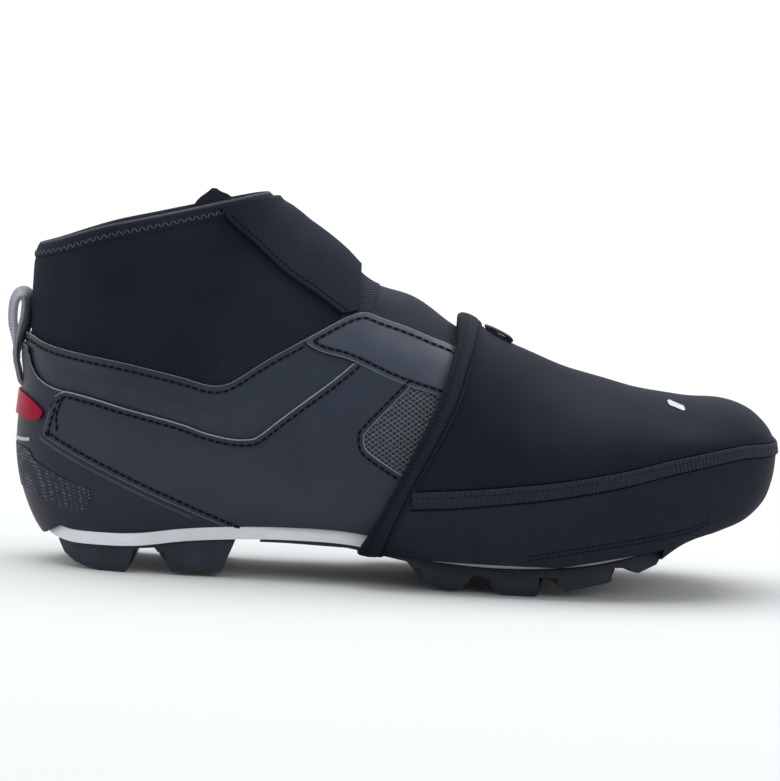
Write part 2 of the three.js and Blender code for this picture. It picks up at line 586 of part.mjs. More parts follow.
function meshInsert() {
  const region = acrossPrism(sidePoints(MESH_WINDOW)).intersect(below(sidePoints(EYESTAY_LOW), -GAP));
  return overlay(region.subtract(underCover), OVERLAY / 2);
}

function heelLabel() {
  const layer = shell(upperForm, 2 * GAP + OVERLAY, 2 * GAP + OVERLAY + LABEL);
  return largest(layer.intersect(acrossPrism(sidePoints(LABEL_OUTLINE))));
}

function cuffTab() {
  const face = tongueFace - CUFF_WALL - GAP;
  const layer = shell(upperForm, face - TAB_WALL, face);
  return largest(layer.intersect(acrossPrism(sidePoints(TAB_OUTLINE))).intersect(innerSide));
}

// A strap bent along a path in the side view, of the given thickness and width
function bentStrap(path, thickness, width) {
  const offset = (sign) => path.map((p, i) => {
    const along = path[Math.min(i + 1, path.length - 1)].clone().sub(path[Math.max(i - 1, 0)]).normalize();
    return new THREE.Vector2(p.x - (along.y * sign * thickness) / 2, p.y + (along.x * sign * thickness) / 2);
  });
  return acrossPrism([...offset(1), ...offset(-1).reverse()], -width / 2, width / 2);
}

// One lengthwise line of a form, such as its crest or its low line
const lineOf = (table, distance, index) => formRings(table, distance).map((ring) => ring[index]);

// The value of one axis of a line where it passes a value of another axis
function valueOn(line, by, at, want) {
  const i = Math.max(1, line.findIndex((p, n) => n > 0 && (line[n - 1][by] - at) * (p[by] - at) <= 0));
  const [a, b] = [line[i - 1], line[i]];
  return a[want] + ((b[want] - a[want]) * (at - a[by])) / (b[by] - a[by]);
}

function heelLoop() {
  const face = lineOf(UPPER_SECTIONS, GAP + OVERLAY, AROUND / 2);
  const strand = (rows) => bentStrap(smooth(rows.map(([z, behind]) =>
    new THREE.Vector2(valueOn(face, "z", inHeight(z), "x") - behind, inHeight(z))), 2), LOOP_STRAP, LOOP_WIDTH);
  return largest(strand(LOOP_OUTER).add(strand(LOOP_INNER)));
}

// Overshoe
const seam = sidePoints(SEAM_LINE);
const hem = sidePoints(HEM_LINE);

function clearOfSole(solid) {
  return largest([soleKeepout, ...treadKeepout].reduce((left, cut) => left.subtract(cut), solid));
}
function coverShell() {
  return shell(coverForm, 0, COVER_WALL).intersect(inFront(bindingFront, SEAM_GAP));
}
function coverTop() {
  return largest(coverShell().intersect(above(seam, SEAM_GAP / 2)));
}
function coverRand() {
  return clearOfSole(coverShell().intersect(below(seam, -SEAM_GAP / 2)).intersect(above(hem)));
}
function coverTape() {
  const layer = shell(coverForm, COVER_WALL + GAP, COVER_WALL + GAP + TAPE);
  return largest(layer.intersect(above(seam, -TAPE_WIDTH / 2)).intersect(below(seam, TAPE_WIDTH / 2))
    .intersect(inFront(bindingFront, SEAM_GAP)));
}
// A ring around the shoe that thins to a flat strap where it passes under the arch
function coverBinding() {
  const ring = shell(coverForm, 0, COVER_WALL + BINDING_LIP);
  const underArch = moved(solePoints(FOREFOOT_TREAD), 0, -GAP - ARCH_STRAP);
  return clearOfSole(ring.intersect(inFront(bindingBack)).subtract(inFront(bindingFront)).intersect(above(underArch)));
}

function coverPull() {
  const crest = lineOf(COVER_SECTIONS, COVER_WALL, 0);
  const strand = (rows) => bentStrap(smooth(rows.map(([x, lift]) =>
    new THREE.Vector2(inLength(x), valueOn(crest, "x", inLength(x), "z") + lift)), 2), PULL_STRAP, PULL_WIDTH);
  return largest(strand(PULL_LOWER).add(strand(PULL_UPPER)));
}

// Materials
const material = (color, roughness, metalness = 0) => new THREE.MeshStandardMaterial({ color, roughness, metalness });
const leather = material(0x343a45, 0.5);
const overlayLeather = material(0x3a404b, 0.45);
const neoprene = material(0x1b2129, 0.85);
const softshell = material(0x3d434b, 0.75);
const coverNeoprene = material(0x2a303b, 0.65);
const bindingTape = material(0x1c2027, 0.85);
const rubber = material(0x2b2f36, 0.7);
const plateNylon = material(0xaeb2b8, 0.45);
const meshFabric = material(0x55585d, 0.6);
const webbing = material(0x63666d, 0.7);
const redLabel = material(0x8f1f3a, 0.5);
const foam = material(0x22252a, 0.9);

const quarters = mirrorParts(overlay(quarterRegion(), OVERLAY));
const eyestays = mirrorParts(overlay(eyestayRegion(), STRAP));
const inserts = mirrorParts(meshInsert());

const pieces = [
  meshOf("sole_plate", plate(), plateNylon),
  meshOf("heel_outsole", tread(HEEL_TREAD, HEEL_WEB, [HEEL_CHANNEL]), rubber),
  meshOf("forefoot_outsole", tread(FOREFOOT_TREAD, WEB_THICKNESS, [CLEAT_CHANNEL, TOE_CHANNEL]), rubber),
  meshOf("insole", insole(), foam),
  meshOf("upper", upper(), leather),
  meshOf("quarter_outer", quarters[0], overlayLeather),
  meshOf("quarter_inner", quarters[1], overlayLeather),
  meshOf("eyestay_outer", eyestays[0], overlayLeather),
  meshOf("eyestay_inner", eyestays[1], overlayLeather),
  meshOf("mesh_insert_outer", inserts[0], meshFabric),
  meshOf("mesh_insert_inner", inserts[1], meshFabric),
  meshOf("heel_counter", largest(overlay(counterRegion(), OVERLAY)), overlayLeather),
  meshOf("heel_label", heelLabel(), redLabel),
  meshOf("heel_loop", heelLoop(), webbing),
  meshOf("ankle_cuff", cuff(), neoprene),
  meshOf("cuff_flap", flap(), neoprene),
  meshOf("cuff_tab", cuffTab(), neoprene),
  meshOf("tongue", tongue(), softshell),
  meshOf("overshoe_top", coverTop(), coverNeoprene),
  meshOf("overshoe_rand", coverRand(), coverNeoprene),
  meshOf("overshoe_seam_tape", coverTape(), bindingTape),
  meshOf("overshoe_binding", coverBinding(), bindingTape),
  meshOf("overshoe_pull", coverPull(), bindingTape),
];

// The origin is the middle of the floor under the shoe
const shoe = new THREE.Group();
shoe.add(...pieces);
const bounds = new THREE.Box3().setFromObject(shoe, true);
shoe.position.set(-(bounds.min.x + bounds.max.x) / 2, -(bounds.min.y + bounds.max.y) / 2, -bounds.min.z);

export default shoe;
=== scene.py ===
"""A right cycling shoe with a neoprene toe overshoe pulled over its front half, modelled on its frame."""

import math

import bpy
import numpy as np
from mathutils import Matrix, Vector
from mathutils.bvhtree import BVHTree


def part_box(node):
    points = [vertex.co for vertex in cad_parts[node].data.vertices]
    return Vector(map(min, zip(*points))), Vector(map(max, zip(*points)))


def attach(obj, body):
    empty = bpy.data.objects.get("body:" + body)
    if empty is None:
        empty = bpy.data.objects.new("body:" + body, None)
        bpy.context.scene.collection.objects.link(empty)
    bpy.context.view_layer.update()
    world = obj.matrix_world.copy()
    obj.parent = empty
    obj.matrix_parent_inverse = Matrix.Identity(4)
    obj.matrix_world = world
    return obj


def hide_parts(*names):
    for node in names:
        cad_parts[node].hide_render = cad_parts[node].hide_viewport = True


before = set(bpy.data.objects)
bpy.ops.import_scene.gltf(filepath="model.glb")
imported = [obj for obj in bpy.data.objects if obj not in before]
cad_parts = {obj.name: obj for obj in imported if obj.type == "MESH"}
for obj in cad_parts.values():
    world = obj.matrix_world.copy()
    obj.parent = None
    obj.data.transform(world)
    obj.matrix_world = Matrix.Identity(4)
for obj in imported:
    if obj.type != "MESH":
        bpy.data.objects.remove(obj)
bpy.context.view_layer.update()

bl_info = {
    "name": "Cycling shoe with toe overshoe",
    "version": (1, 0, 0),
    "blender": (4, 5, 0),
    "location": "3D View > Sidebar > Overshoe",
    "description": "Models a right cycling shoe with a toe overshoe on it, piece by piece",
    "category": "Object",
}

# Shapes are worked out in millimetres from the back of the heel, +X to the toe and the outer side at -Y.
LENGTH = 292.0
COLLAR_HEIGHT = 146.0
BALL_WIDTH = 98.0
SOLE_RISE = 30.0
SOLE_WIDTH = 92.0
BEYOND = 120.0
ACROSS = np.array([0.0, 1.0, 0.0])
TURN = 2 * math.pi

# Shares of the sizes above, section by section from the toe: crest x and z, low point x and z, centre,
# half width, how high it is widest, and how square it is above and below that
SHOE_SECTIONS = [
    (0.999, 0.356, 0.999, 0.301, 0.082, 0.031, 0.5, 2.0, 2.0),
    (0.994, 0.397, 0.994, 0.25, 0.082, 0.128, 0.5, 2.0, 2.2),
    (0.979, 0.442, 0.979, 0.199, 0.077, 0.23, 0.45, 2.1, 2.6),
    (0.952, 0.476, 0.952, 0.151, 0.066, 0.321, 0.42, 2.2, 3.0),
    (0.911, 0.491, 0.911, 0.15, 0.049, 0.397, 0.4, 2.2, 3.0),
    (0.853, 0.498, 0.853, 0.112, 0.026, 0.454, 0.38, 2.1, 2.8),
    (0.784, 0.524, 0.784, 0.05, 0.0, 0.488, 0.36, 2.0, 3.0),
    (0.712, 0.568, 0.712, 0.007, -0.015, 0.495, 0.34, 1.9, 3.2),
    (0.644, 0.62, 0.644, 0.007, -0.031, 0.476, 0.32, 1.9, 3.2),
    (0.584, 0.688, 0.575, 0.021, -0.036, 0.444, 0.31, 1.9, 3.2),
    (0.524, 0.755, 0.507, 0.048, -0.039, 0.408, 0.3, 1.9, 3.2),
    (0.479, 0.784, 0.435, 0.065, -0.033, 0.383, 0.3, 2.0, 3.2),
    (0.452, 0.822, 0.356, 0.065, -0.022, 0.367, 0.31, 2.0, 3.2),
    (0.43, 0.863, 0.274, 0.055, -0.012, 0.362, 0.34, 2.0, 3.2),
    (0.411, 0.894, 0.188, 0.038, -0.006, 0.362, 0.38, 2.0, 3.2),
    (0.394, 0.918, 0.11, 0.027, -0.002, 0.362, 0.42, 2.0, 3.0),
    (0.378, 0.938, 0.052, 0.068, 0.0, 0.362, 0.45, 2.0, 2.6),
    (0.365, 0.957, 0.0185, 0.178, 0.0, 0.362, 0.47, 2.0, 2.3),
    (0.353, 0.973, 0.0048, 0.329, 0.0, 0.359, 0.48, 2.0, 2.15),
    (0.343, 0.984, 0.0105, 0.507, 0.0, 0.352, 0.49, 2.05, 2.1),
    (0.338, 0.994, 0.0055, 0.671, 0.0, 0.345, 0.5, 2.1, 2.1),
    (0.334, 1.006, 0.0058, 0.82, 0.0, 0.342, 0.5, 2.1, 2.1),
    (0.331, 1.034, 0.006, 0.95, 0.0, 0.347, 0.5, 2.1, 2.1),
]
COVER_SECTIONS = [
    (1.007, 0.39, 1.007, 0.349, 0.082, 0.031, 0.6, 2.0, 2.0),
    (1.003, 0.412, 1.003, 0.3, 0.082, 0.148, 0.8, 1.8, 2.4),
    (0.991, 0.444, 0.991, 0.243, 0.077, 0.25, 0.75, 1.8, 3.0),
    (0.968, 0.477, 0.968, 0.205, 0.066, 0.335, 0.68, 1.9, 4.0),
    (0.935, 0.496, 0.935, 0.183, 0.056, 0.409, 0.63, 2.0, 4.6),
    (0.884, 0.501, 0.884, 0.148, 0.036, 0.475, 0.6, 2.0, 4.8),
    (0.813, 0.52, 0.813, 0.041, 0.01, 0.512, 0.56, 1.95, 4.0),
    (0.736, 0.558, 0.736, -0.03, -0.005, 0.521, 0.53, 1.9, 4.0),
    (0.668, 0.607, 0.668, -0.041, -0.02, 0.507, 0.47, 1.9, 4.0),
    (0.618, 0.652, 0.603, -0.007, -0.031, 0.488, 0.41, 2.1, 4.0),
    (0.591, 0.692, 0.521, 0.086, -0.036, 0.46, 0.36, 2.15, 6.0),
    (0.567, 0.714, 0.459, 0.1, -0.036, 0.44, 0.34, 2.15, 8.0),
    (0.536, 0.74, 0.397, 0.102, -0.031, 0.424, 0.33, 2.1, 8.0),
]

# Sole: x as a share of the length, then outer and inner edge as shares of the sole width
SOLE_OUTLINE = [
    (0.048, 0.0, 0.0), (0.053, 0.12, 0.12), (0.068, 0.217, 0.217), (0.096, 0.288, 0.288),
    (0.154, 0.342, 0.335), (0.223, 0.36, 0.337), (0.301, 0.369, 0.32), (0.377, 0.383, 0.302),
    (0.449, 0.408, 0.312), (0.514, 0.44, 0.348), (0.582, 0.47, 0.404), (0.658, 0.49, 0.455),
    (0.726, 0.484, 0.478), (0.795, 0.444, 0.478), (0.863, 0.358, 0.443), (0.918, 0.25, 0.37),
    (0.952, 0.14, 0.29), (0.969, 0.03, 0.21), (0.974, -0.087, 0.087),
]
PLATE_UNDERSIDE = [
    (0.048, 0.41), (0.075, 0.355), (0.103, 0.335), (0.171, 0.355), (0.235, 0.45), (0.3, 0.507),
    (0.37, 0.535), (0.449, 0.525), (0.514, 0.435), (0.582, 0.352), (0.66, 0.33), (0.74, 0.38),
    (0.805, 0.487), (0.86, 0.66), (0.911, 0.925), (0.945, 1.08), (0.98, 1.17),
]
HEEL_TREAD = [
    (0.067, 0.33), (0.076, 0.183), (0.092, 0.083), (0.109, 0.03), (0.125, 0.0), (0.159, 0.0), (0.163, 0.04),
    (0.17, 0.315), (0.197, 0.34), (0.2205, 0.047), (0.286, 0.075), (0.3015, 0.46),
]
FOREFOOT_TREAD = [
    (0.335, 0.487), (0.37, 0.49), (0.449, 0.477), (0.5, 0.4), (0.528, 0.355), (0.551, 0.107),
    (0.575, 0.05), (0.596, 0.04), (0.604, 0.08), (0.616, 0.235), (0.629, 0.225), (0.643, 0.06),
    (0.655, 0.0), (0.696, 0.0), (0.702, 0.04), (0.707, 0.21), (0.716, 0.217), (0.736, 0.08),
    (0.793, 0.207), (0.799, 0.273), (0.802, 0.375), (0.807, 0.387), (0.831, 0.33), (0.855, 0.437),
    (0.862, 0.555),
]
CLEAT_CHANNEL = (0.5, 0.757, 34.0)
HEEL_CHANNEL = (0.182, 0.32, 17.0)
TOE_CHANNEL = (0.806, 0.88, 13.0)
LUG_STARTS = (0.54, 0.632, 0.72, 0.815, 0.205)
PLATE_THICKNESS = 4.8
GAP = 0.3
# How deep the cuff and the tongue stand inside the outside of the leather
FACE = -2.3
# The overshoe hides the plate ahead of here, and over this length the plate narrows by a share of its width
HIDDEN_FROM, HIDDEN_OVER, HIDDEN_SHARE = 146, 16, 0.085
TREAD_INSET = 1.5
# Behind the plate the heel counter reaches down to this height, and it rises between the two places
COUNTER_FOOT, COUNTER_FOOT_END, COUNTER_FOOT_RISE = 11.6, 13.4, 18.5
# Centres that lines turn about round the heel and the toe, and in how many steps
HEEL_TURN = ((36.0, 0.0), 120)
TOE_TURN = ((252.0, 7.0), 150)
HEM_STITCHED = (200, 268)
TOE_BAR = [(252.2, 73.6), (257.6, 71.9), (258.4, 72.2), (257.9, 73.3), (252.6, 75.0), (251.8, 74.7)]
CAMERA_AIM = (144.72, 0, 72.15)

# Edges in the side view: x as a share of the length, z as a share of the collar height
TOPLINE = [
    (-0.04, 0.612), (0.014, 0.605), (0.031, 0.593), (0.053, 0.581), (0.087, 0.57), (0.154, 0.55),
    (0.221, 0.523), (0.254, 0.5065), (0.274, 0.5055), (0.294, 0.521), (0.336, 0.579), (0.38, 0.632),
    (0.416, 0.675), (0.439, 0.7), (0.459, 0.71), (0.481, 0.697), (0.515, 0.677), (0.548, 0.653),
    (0.582, 0.627), (0.634, 0.565), (0.685, 0.53), (0.715, 0.545), (0.73, 0.62),
]
COLLAR_LINE = [
    (-0.05, 0.812), (0.014, 0.836), (0.046, 0.852), (0.112, 0.898), (0.177, 0.931), (0.276, 0.981),
    (0.328, 1.003), (0.45, 1.03),
]
CUFF_FRONT = [(0.415, 0.6), (0.437, 0.7), (0.449, 0.77), (0.455, 0.9)]
FLAP_EDGE = [(0.255, 1.02), (0.271, 0.951), (0.312, 0.879), (0.354, 0.807), (0.396, 0.755), (0.43, 0.708)]
FLAP_FOOT = [(0.449, 0.717), (0.459, 0.75), (0.466, 0.79), (0.47, 0.84)]
INNER_FLAP_EDGE = [(0.2, 1.02), (0.215, 0.93), (0.25, 0.82), (0.3, 0.72), (0.36, 0.68), (0.42, 0.7)]
FLAP_EDGES = ((FLAP_EDGE, -1), (INNER_FLAP_EDGE, 1))
TONGUE_END = 0.735
COUNTER_TOP = [
    (-0.04, 0.585), (0.01, 0.575), (0.016, 0.555), (0.022, 0.522), (0.031, 0.497), (0.045, 0.48),
    (0.06, 0.471), (0.079, 0.465),
]
QUARTER_TOP = [
    (0.058, 0.452), (0.066, 0.464), (0.076, 0.467), (0.112, 0.454), (0.157, 0.432), (0.224, 0.402),
    (0.257, 0.3815), (0.29, 0.369), (0.311, 0.3685), (0.327, 0.378), (0.355, 0.425), (0.387, 0.477),
    (0.42, 0.53), (0.448, 0.58),
]
QUARTER_BACK = [
    (0.302, 0.128), (0.204, 0.205), (0.107, 0.288), (0.05, 0.343), (0.045, 0.355), (0.046, 0.375),
    (0.052, 0.42),
]
STRAP_LOW = [(0.38, 0.633), (0.404, 0.609), (0.444, 0.59), (0.501, 0.545), (0.56, 0.511), (0.62, 0.475)]
MESH_WINDOW = [
    (0.6, 0.62), (0.523, 0.531), (0.47, 0.414), (0.465, 0.393), (0.466, 0.372), (0.474, 0.353),
    (0.511, 0.308), (0.55, 0.27), (0.6, 0.27),
]
LABEL_OUTLINE = [
    (-0.03, 0.462), (0.004, 0.455), (0.021, 0.441), (0.035, 0.423), (0.041, 0.41), (0.039, 0.396),
    (0.033, 0.386), (0.02, 0.384), (0.004, 0.392), (-0.03, 0.4),
]
TAB_OUTLINE = [
    (0.212, 0.8), (0.216, 0.945), (0.238, 0.998), (0.245, 1.006), (0.253, 1.0), (0.276, 0.965), (0.292, 0.8),
]
SEAM_LINE = [
    (0.4, 0.212), (0.514, 0.238), (0.58, 0.25), (0.644, 0.266), (0.72, 0.289), (0.798, 0.321),
    (0.873, 0.361), (0.95, 0.392), (0.99, 0.396), (1.06, 0.392),
]
HEM_LINE = [
    (0.4, 0.085), (0.519, 0.07), (0.548, 0.042), (0.582, 0.037), (0.62, 0.042), (0.652, 0.055),
    (0.713, 0.081), (0.777, 0.107), (0.828, 0.126), (0.861, 0.139),
]
BINDING_BACK = [
    (0.578, 0.75), (0.5805, 0.657), (0.571, 0.573), (0.561, 0.503), (0.5435, 0.418), (0.52, 0.316),
    (0.496, 0.217), (0.472, 0.128), (0.45, 0.06), (0.45, -0.1),
]
BINDING_FRONT = [
    (0.612, 0.75), (0.606, 0.662), (0.598, 0.583), (0.585, 0.477), (0.564, 0.384), (0.54, 0.29),
    (0.517, 0.183), (0.493, 0.086), (0.493, -0.1),
]
HEEL_MESH = [
    (-0.1, 0.322), (0.01, 0.312), (0.033, 0.278), (0.077, 0.237), (0.105, 0.222), (0.11, 0.205),
    (0.1095, 0.186), (0.1, 0.157), (0.083, 0.16), (0.037, 0.182), (0.01, 0.2), (-0.1, 0.205),
]

# Pull loop at the heel: height share, then how far its middle stands behind the heel counter
HEEL_LOOP = [
    (0.463, -1.3), (0.471, 0.2), (0.4815, 1.2), (0.507, 1.95), (0.541, 2.55), (0.582, 3.0), (0.623, 3.6),
    (0.661, 3.6), (0.687, 3.1), (0.704, 1.9), (0.7095, 0.1), (0.703, -1.6), (0.685, -2.4), (0.664, -2.3),
    (0.637, -1.8), (0.613, -0.6), (0.5925, 0.65), (0.5685, 1.6), (0.548, 2.2), (0.53, 2.1),
]
# Pull tab on the instep: length share, then how high its middle stands off the overshoe
PULL_TAB = [
    (0.6195, 0.5), (0.633, 0.45), (0.6475, 0.45), (0.6535, 0.7), (0.6545, 1.2), (0.6505, 1.75), (0.64, 2.0),
    (0.627, 1.7), (0.618, 0.85),
]

# Soft troughs and ridges: side (-1 outer, 1 inner, 0 both), line in the side view in
# millimetres, depth (below 0 sinks in) and half width
SHOE_CREASES = [
    (0, [(0, 80), (22, 77), (45, 71), (66, 65.5), (80, 64.5), (92, 70), (106, 80), (120, 90)], 1.8, 5.2),
    (0, [(-5, 72), (20, 69), (42, 63), (66, 56.5), (90, 54), (104, 62), (122, 76)], -0.6, 3.2),
    (-1, [(30, 55), (60, 48), (90, 44), (120, 50)], 0.6, 11.0),
    (1, [(30, 55), (60, 48), (90, 44), (120, 50)], 0.5, 11.0),
    (0, [(125, 96), (145, 88), (166, 81)], 0.55, 5.5),
    (-1, [(96, 38), (108, 52), (118, 64)], -0.35, 5.0),
    (-1, [(120, 30), (132, 38), (139, 47)], -0.4, 5.0),
    (1, [(100, 34), (116, 44), (128, 58)], -0.4, 6.0),
    (0, [(-8, 120), (2, 123), (16, 127)], -1.9, 4.5),
    (-1, [(4, 112), (20, 106), (38, 103)], -0.7, 4.5),
    (-1, [(4, 98), (16, 95), (30, 95)], -0.5, 4.0),
    (-1, [(112, 110), (98, 104), (84, 102), (70, 104)], -0.8, 4.5),
    (-1, [(104, 97), (92, 93), (80, 92)], -0.5, 4.0),
    (-1, [(60, 128), (66, 112), (78, 98)], 0.5, 9.0),
    (1, [(4, 110), (22, 104), (44, 103)], -0.8, 5.0),
    (1, [(106, 108), (92, 101), (74, 100)], -0.8, 5.0),
    (1, [(50, 124), (58, 108), (70, 94)], 0.5, 9.0),
    (-1, [(96, 139), (104, 131), (118, 124), (128, 116)], 0.5, 5.0),
    (0, [(132, 113), (139, 112), (146, 110), (156, 107), (166, 101)], 1.4, 4.5),
]
COVER_CREASES = [
    (0, [(182, 96), (181, 88), (178, 76), (172, 62), (166, 48), (158, 32), (152, 18)], -0.5, 5.0),
    (-1, [(194, 86), (214, 76), (240, 71)], -0.9, 7.0),
    (-1, [(186, 60), (208, 55), (236, 60)], 0.9, 10.0),
    (-1, [(176, 80), (190, 70), (204, 64)], -0.5, 6.0),
    (-1, [(190, 91), (197, 74), (200, 56)], -0.5, 5.5),
    (-1, [(222, 79), (234, 66), (240, 53)], 0.6, 7.0),
    (-1, [(168, 64), (176, 52), (186, 46)], 0.5, 5.0),
    (0, [(240, 68), (260, 66), (284, 61)], -1.1, 6.0),
    (-1, [(250, 60), (268, 60), (286, 58)], 0.5, 4.0),
    (0, [(150, 34), (190, 38), (232, 46), (276, 57), (300, 58)], -0.55, 2.6),
    (0, [(262, 17), (276, 23), (286, 27), (296, 34)], -2.8, 5.5),
    (-1, [(160, 24), (190, 27), (226, 33), (262, 44)], 0.5, 6.0),
    (1, [(160, 26), (190, 30), (226, 36), (262, 46)], 0.5, 6.0),
    (1, [(192, 84), (212, 72), (238, 68)], -0.6, 7.0),
]

loop_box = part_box("heel_loop")
plate_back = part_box("sole_plate")[0].x
ORIGIN = np.array([plate_back - SOLE_OUTLINE[0][0] * LENGTH / 1000, (loop_box[0].y + loop_box[1].y) / 2, 0.0])


def paint(red, green, blue):
    """A colour read as 0-255 screen values, as linear light."""
    return tuple(
        v / 255 / 12.92 if v <= 10 else ((v / 255 + 0.055) / 1.055) ** 2.4
        for v in (red, green, blue)
    )


def number_setting(name, description, default, **kind):
    return bpy.props.FloatProperty(name=name, description=description, default=default, min=0.0, **kind)


def angle_setting(name, description, degrees):
    return number_setting(name, description, math.radians(degrees), subtype="ANGLE", unit="ROTATION")


def size_setting(name, description, default):
    return number_setting(name, description, default / 1000, subtype="DISTANCE", unit="LENGTH")


def colour_setting(name, description, *value):
    return bpy.props.FloatVectorProperty(
        name=name, description=description, default=paint(*value), min=0.0, max=1.0, size=3, subtype="COLOR"
    )


class OVERSHOE_PG_plies(bpy.types.PropertyGroup):
    """Thicknesses of the plies and sizes of the sewing"""

    leather: size_setting("Leather", "Wall of the leather upper", 2.0)
    cuff: size_setting("Cuff", "Neoprene of the ankle cuff", 3.0)
    flap: size_setting("Flap", "Neoprene of the flap over the cuff", 2.6)
    tongue: size_setting("Tongue", "Softshell of the tongue", 2.2)
    panel: size_setting("Panel", "Side panels and heel counter", 1.1)
    strap: size_setting("Strap", "Straps along the throat", 1.2)
    overshoe: size_setting("Overshoe", "Neoprene of the overshoe", 2.8)
    binding_lip: size_setting("Binding lip", "How far the edge binding stands proud", 0.9)
    tape_width: size_setting("Tape width", "Width of the seam tape", 6.4)
    hem: size_setting("Hem", "Width of the folded hem at the collar", 4.2)
    stitch_pitch: size_setting("Stitch pitch", "From one stitch to the next", 3.0)
    stitch_length: size_setting("Stitch length", "Length of one stitch", 2.4)
    thread: size_setting("Thread", "Thickness of the sewing thread", 1.0)
    edge_bead: size_setting("Edge bead", "Thickness of the folded panel edges", 0.66)


class OVERSHOE_PG_colours(bpy.types.PropertyGroup):
    """Colours of the cloths, leathers and plastics"""

    cuff: colour_setting("Cuff", "Ribbed neoprene of the cuff", 20, 25, 34)
    flap: colour_setting("Flap", "Ribbed neoprene of the flap", 27, 31, 42)
    leather: colour_setting("Leather", "Smooth synthetic leather", 32, 40, 53)
    panel: colour_setting("Panels", "Side panels and straps", 34, 41, 54)
    counter: colour_setting("Counter", "Heel counter", 25, 28, 43)
    # Light grey: partly the cut edges' own colour, partly a painted highlight along rounded edges
    edge: colour_setting("Cut edges", "Folded and cut panel edges", 124, 128, 134)
    mesh: colour_setting("Mesh", "Mesh windows", 68, 73, 83)
    overshoe: colour_setting("Overshoe", "Laminated neoprene", 21, 26, 36)
    rand: colour_setting("Rand", "Lower band of the overshoe", 31, 35, 44)
    binding: colour_setting("Binding", "Elastic edge binding", 24, 28, 38)
    tape: colour_setting("Tape", "Ribbed seam tape", 31, 35, 45)
    plate: colour_setting("Plate", "Grey nylon sole plate", 214, 219, 224)
    rubber: colour_setting("Rubber", "Outsole rubber", 34, 39, 50)
    webbing: colour_setting("Webbing", "Heel pull loop", 128, 131, 139)
    tongue: colour_setting("Tongue", "Softshell tongue", 40, 44, 53)
    label: colour_setting("Label", "Plain heel label", 146, 2, 42)
    thread: colour_setting("Thread", "Sewing thread", 3, 5, 11)
    reflective: colour_setting("Reflective", "Reflective trim", 190, 194, 200)
    floor: colour_setting("Floor", "Studio floor", 192, 194, 195)


class OVERSHOE_PG_studio(bpy.types.PropertyGroup):
    """Camera and light"""

    distance: size_setting("Distance", "From the camera to the middle of the shoe", 1400.0)
    elevation: angle_setting("Elevation", "Camera above the horizon", 5.0)
    roll: angle_setting("Roll", "Camera turned about its own line of sight", 2.75)
    lens: number_setting("Lens", "Focal length in millimetres on a 36 mm sensor", 165.46)
    backdrop: number_setting("Backdrop", "Brightness behind the shoe", 1.05)
    front: number_setting("Front", "Brightness on the camera's side", 0.36)
    key: number_setting("Key", "Power of the overhead light", 28.0, subtype="POWER", unit="POWER")
    side: number_setting("Side", "Power of the side light", 4.2, subtype="POWER", unit="POWER")


# Numbers and lines


def thickness(name):
    """A ply or sewing size in millimetres."""
    return getattr(bpy.context.scene.overshoe_plies, name) * 1000


def tint(name):
    return tuple(getattr(bpy.context.scene.overshoe_colours, name))


def metres(points):
    return np.asarray(points, float) / 1000 + ORIGIN


def side_line(shares):
    return np.array([(x * LENGTH, z * COLLAR_HEIGHT) for x, z in shares])


def sole_line(shares):
    return np.array([(x * LENGTH, z * SOLE_RISE) for x, z in shares])


def between(values, at):
    """Rows of a table at any place between them, on a smooth curve through them."""
    values = np.asarray(values, float)
    row = np.clip(np.floor(at).astype(int), 0, len(values) - 2)
    t = (at - row).reshape(-1, *[1] * (values.ndim - 1))
    before, start = values[np.maximum(row - 1, 0)], values[row]
    end, after = values[row + 1], values[np.minimum(row + 2, len(values) - 1)]
    bend = 2 * before - 5 * start + 4 * end - after
    swing = 3 * start - before - 3 * end + after
    return 0.5 * (2 * start + (end - before) * t + bend * t**2 + swing * t**3)


def drawn(line, steps=8):
    """The same line with a smooth curve through its points."""
    line = np.asarray(line, float)
    return between(line, np.linspace(0, len(line) - 1, (len(line) - 1) * steps + 1))


def shifted(line, dx, dz):
    return np.asarray(line, float) + (dx, dz)


def within(line, low=-math.inf, high=math.inf):
    """The points of a line between two distances from the heel."""
    return np.array([p for p in line if low < p[0] < high])


def reached(points):
    """How far along a line each of its points is."""
    return np.concatenate([[0], np.cumsum(np.linalg.norm(np.diff(points, axis=0), axis=1))])


def paced(points, step):
    """A line walked in equal steps: the places along it, as shares of its point numbers."""
    reach = reached(points)
    count = max(2, int(round(reach[-1] / step)) + 1)
    return np.interp(np.linspace(0, reach[-1], count), reach, np.arange(len(points)))


def taken(values, at):
    low = np.clip(np.floor(at).astype(int), 0, len(values) - 2)
    t = (at - low)[:, None]
    return values[low] * (1 - t) + values[low + 1] * t


def unit(vectors):
    return vectors / np.maximum(np.linalg.norm(vectors, axis=-1, keepdims=True), 1e-9)


def grown(outline, distance):
    """A closed outline with its edge moved out."""
    outline = np.asarray(outline, float)
    after, before = np.roll(outline, -1, 0), np.roll(outline, 1, 0)
    turn = np.sign(np.sum(outline[:, 0] * after[:, 1] - outline[:, 1] * after[:, 0])) * distance
    onward = unit(after - before)
    return outline + np.stack([onward[:, 1], -onward[:, 0]], 1) * turn


def below(line):
    return np.vstack([line, [(line[-1][0], -BEYOND), (line[0][0], -BEYOND)]])


def above(line):
    return np.vstack([line, [(line[-1][0], 2 * BEYOND), (line[0][0], 2 * BEYOND)]])


def in_front(line):
    return np.vstack([line, [(LENGTH + BEYOND, line[-1][1]), (LENGTH + BEYOND, line[0][1])]])


def inset_line(line, distance, sign):
    """An open line moved sideways."""
    onward = unit(np.gradient(line, axis=0))
    return line + np.stack([-onward[:, 1], onward[:, 0]], 1) * distance * sign


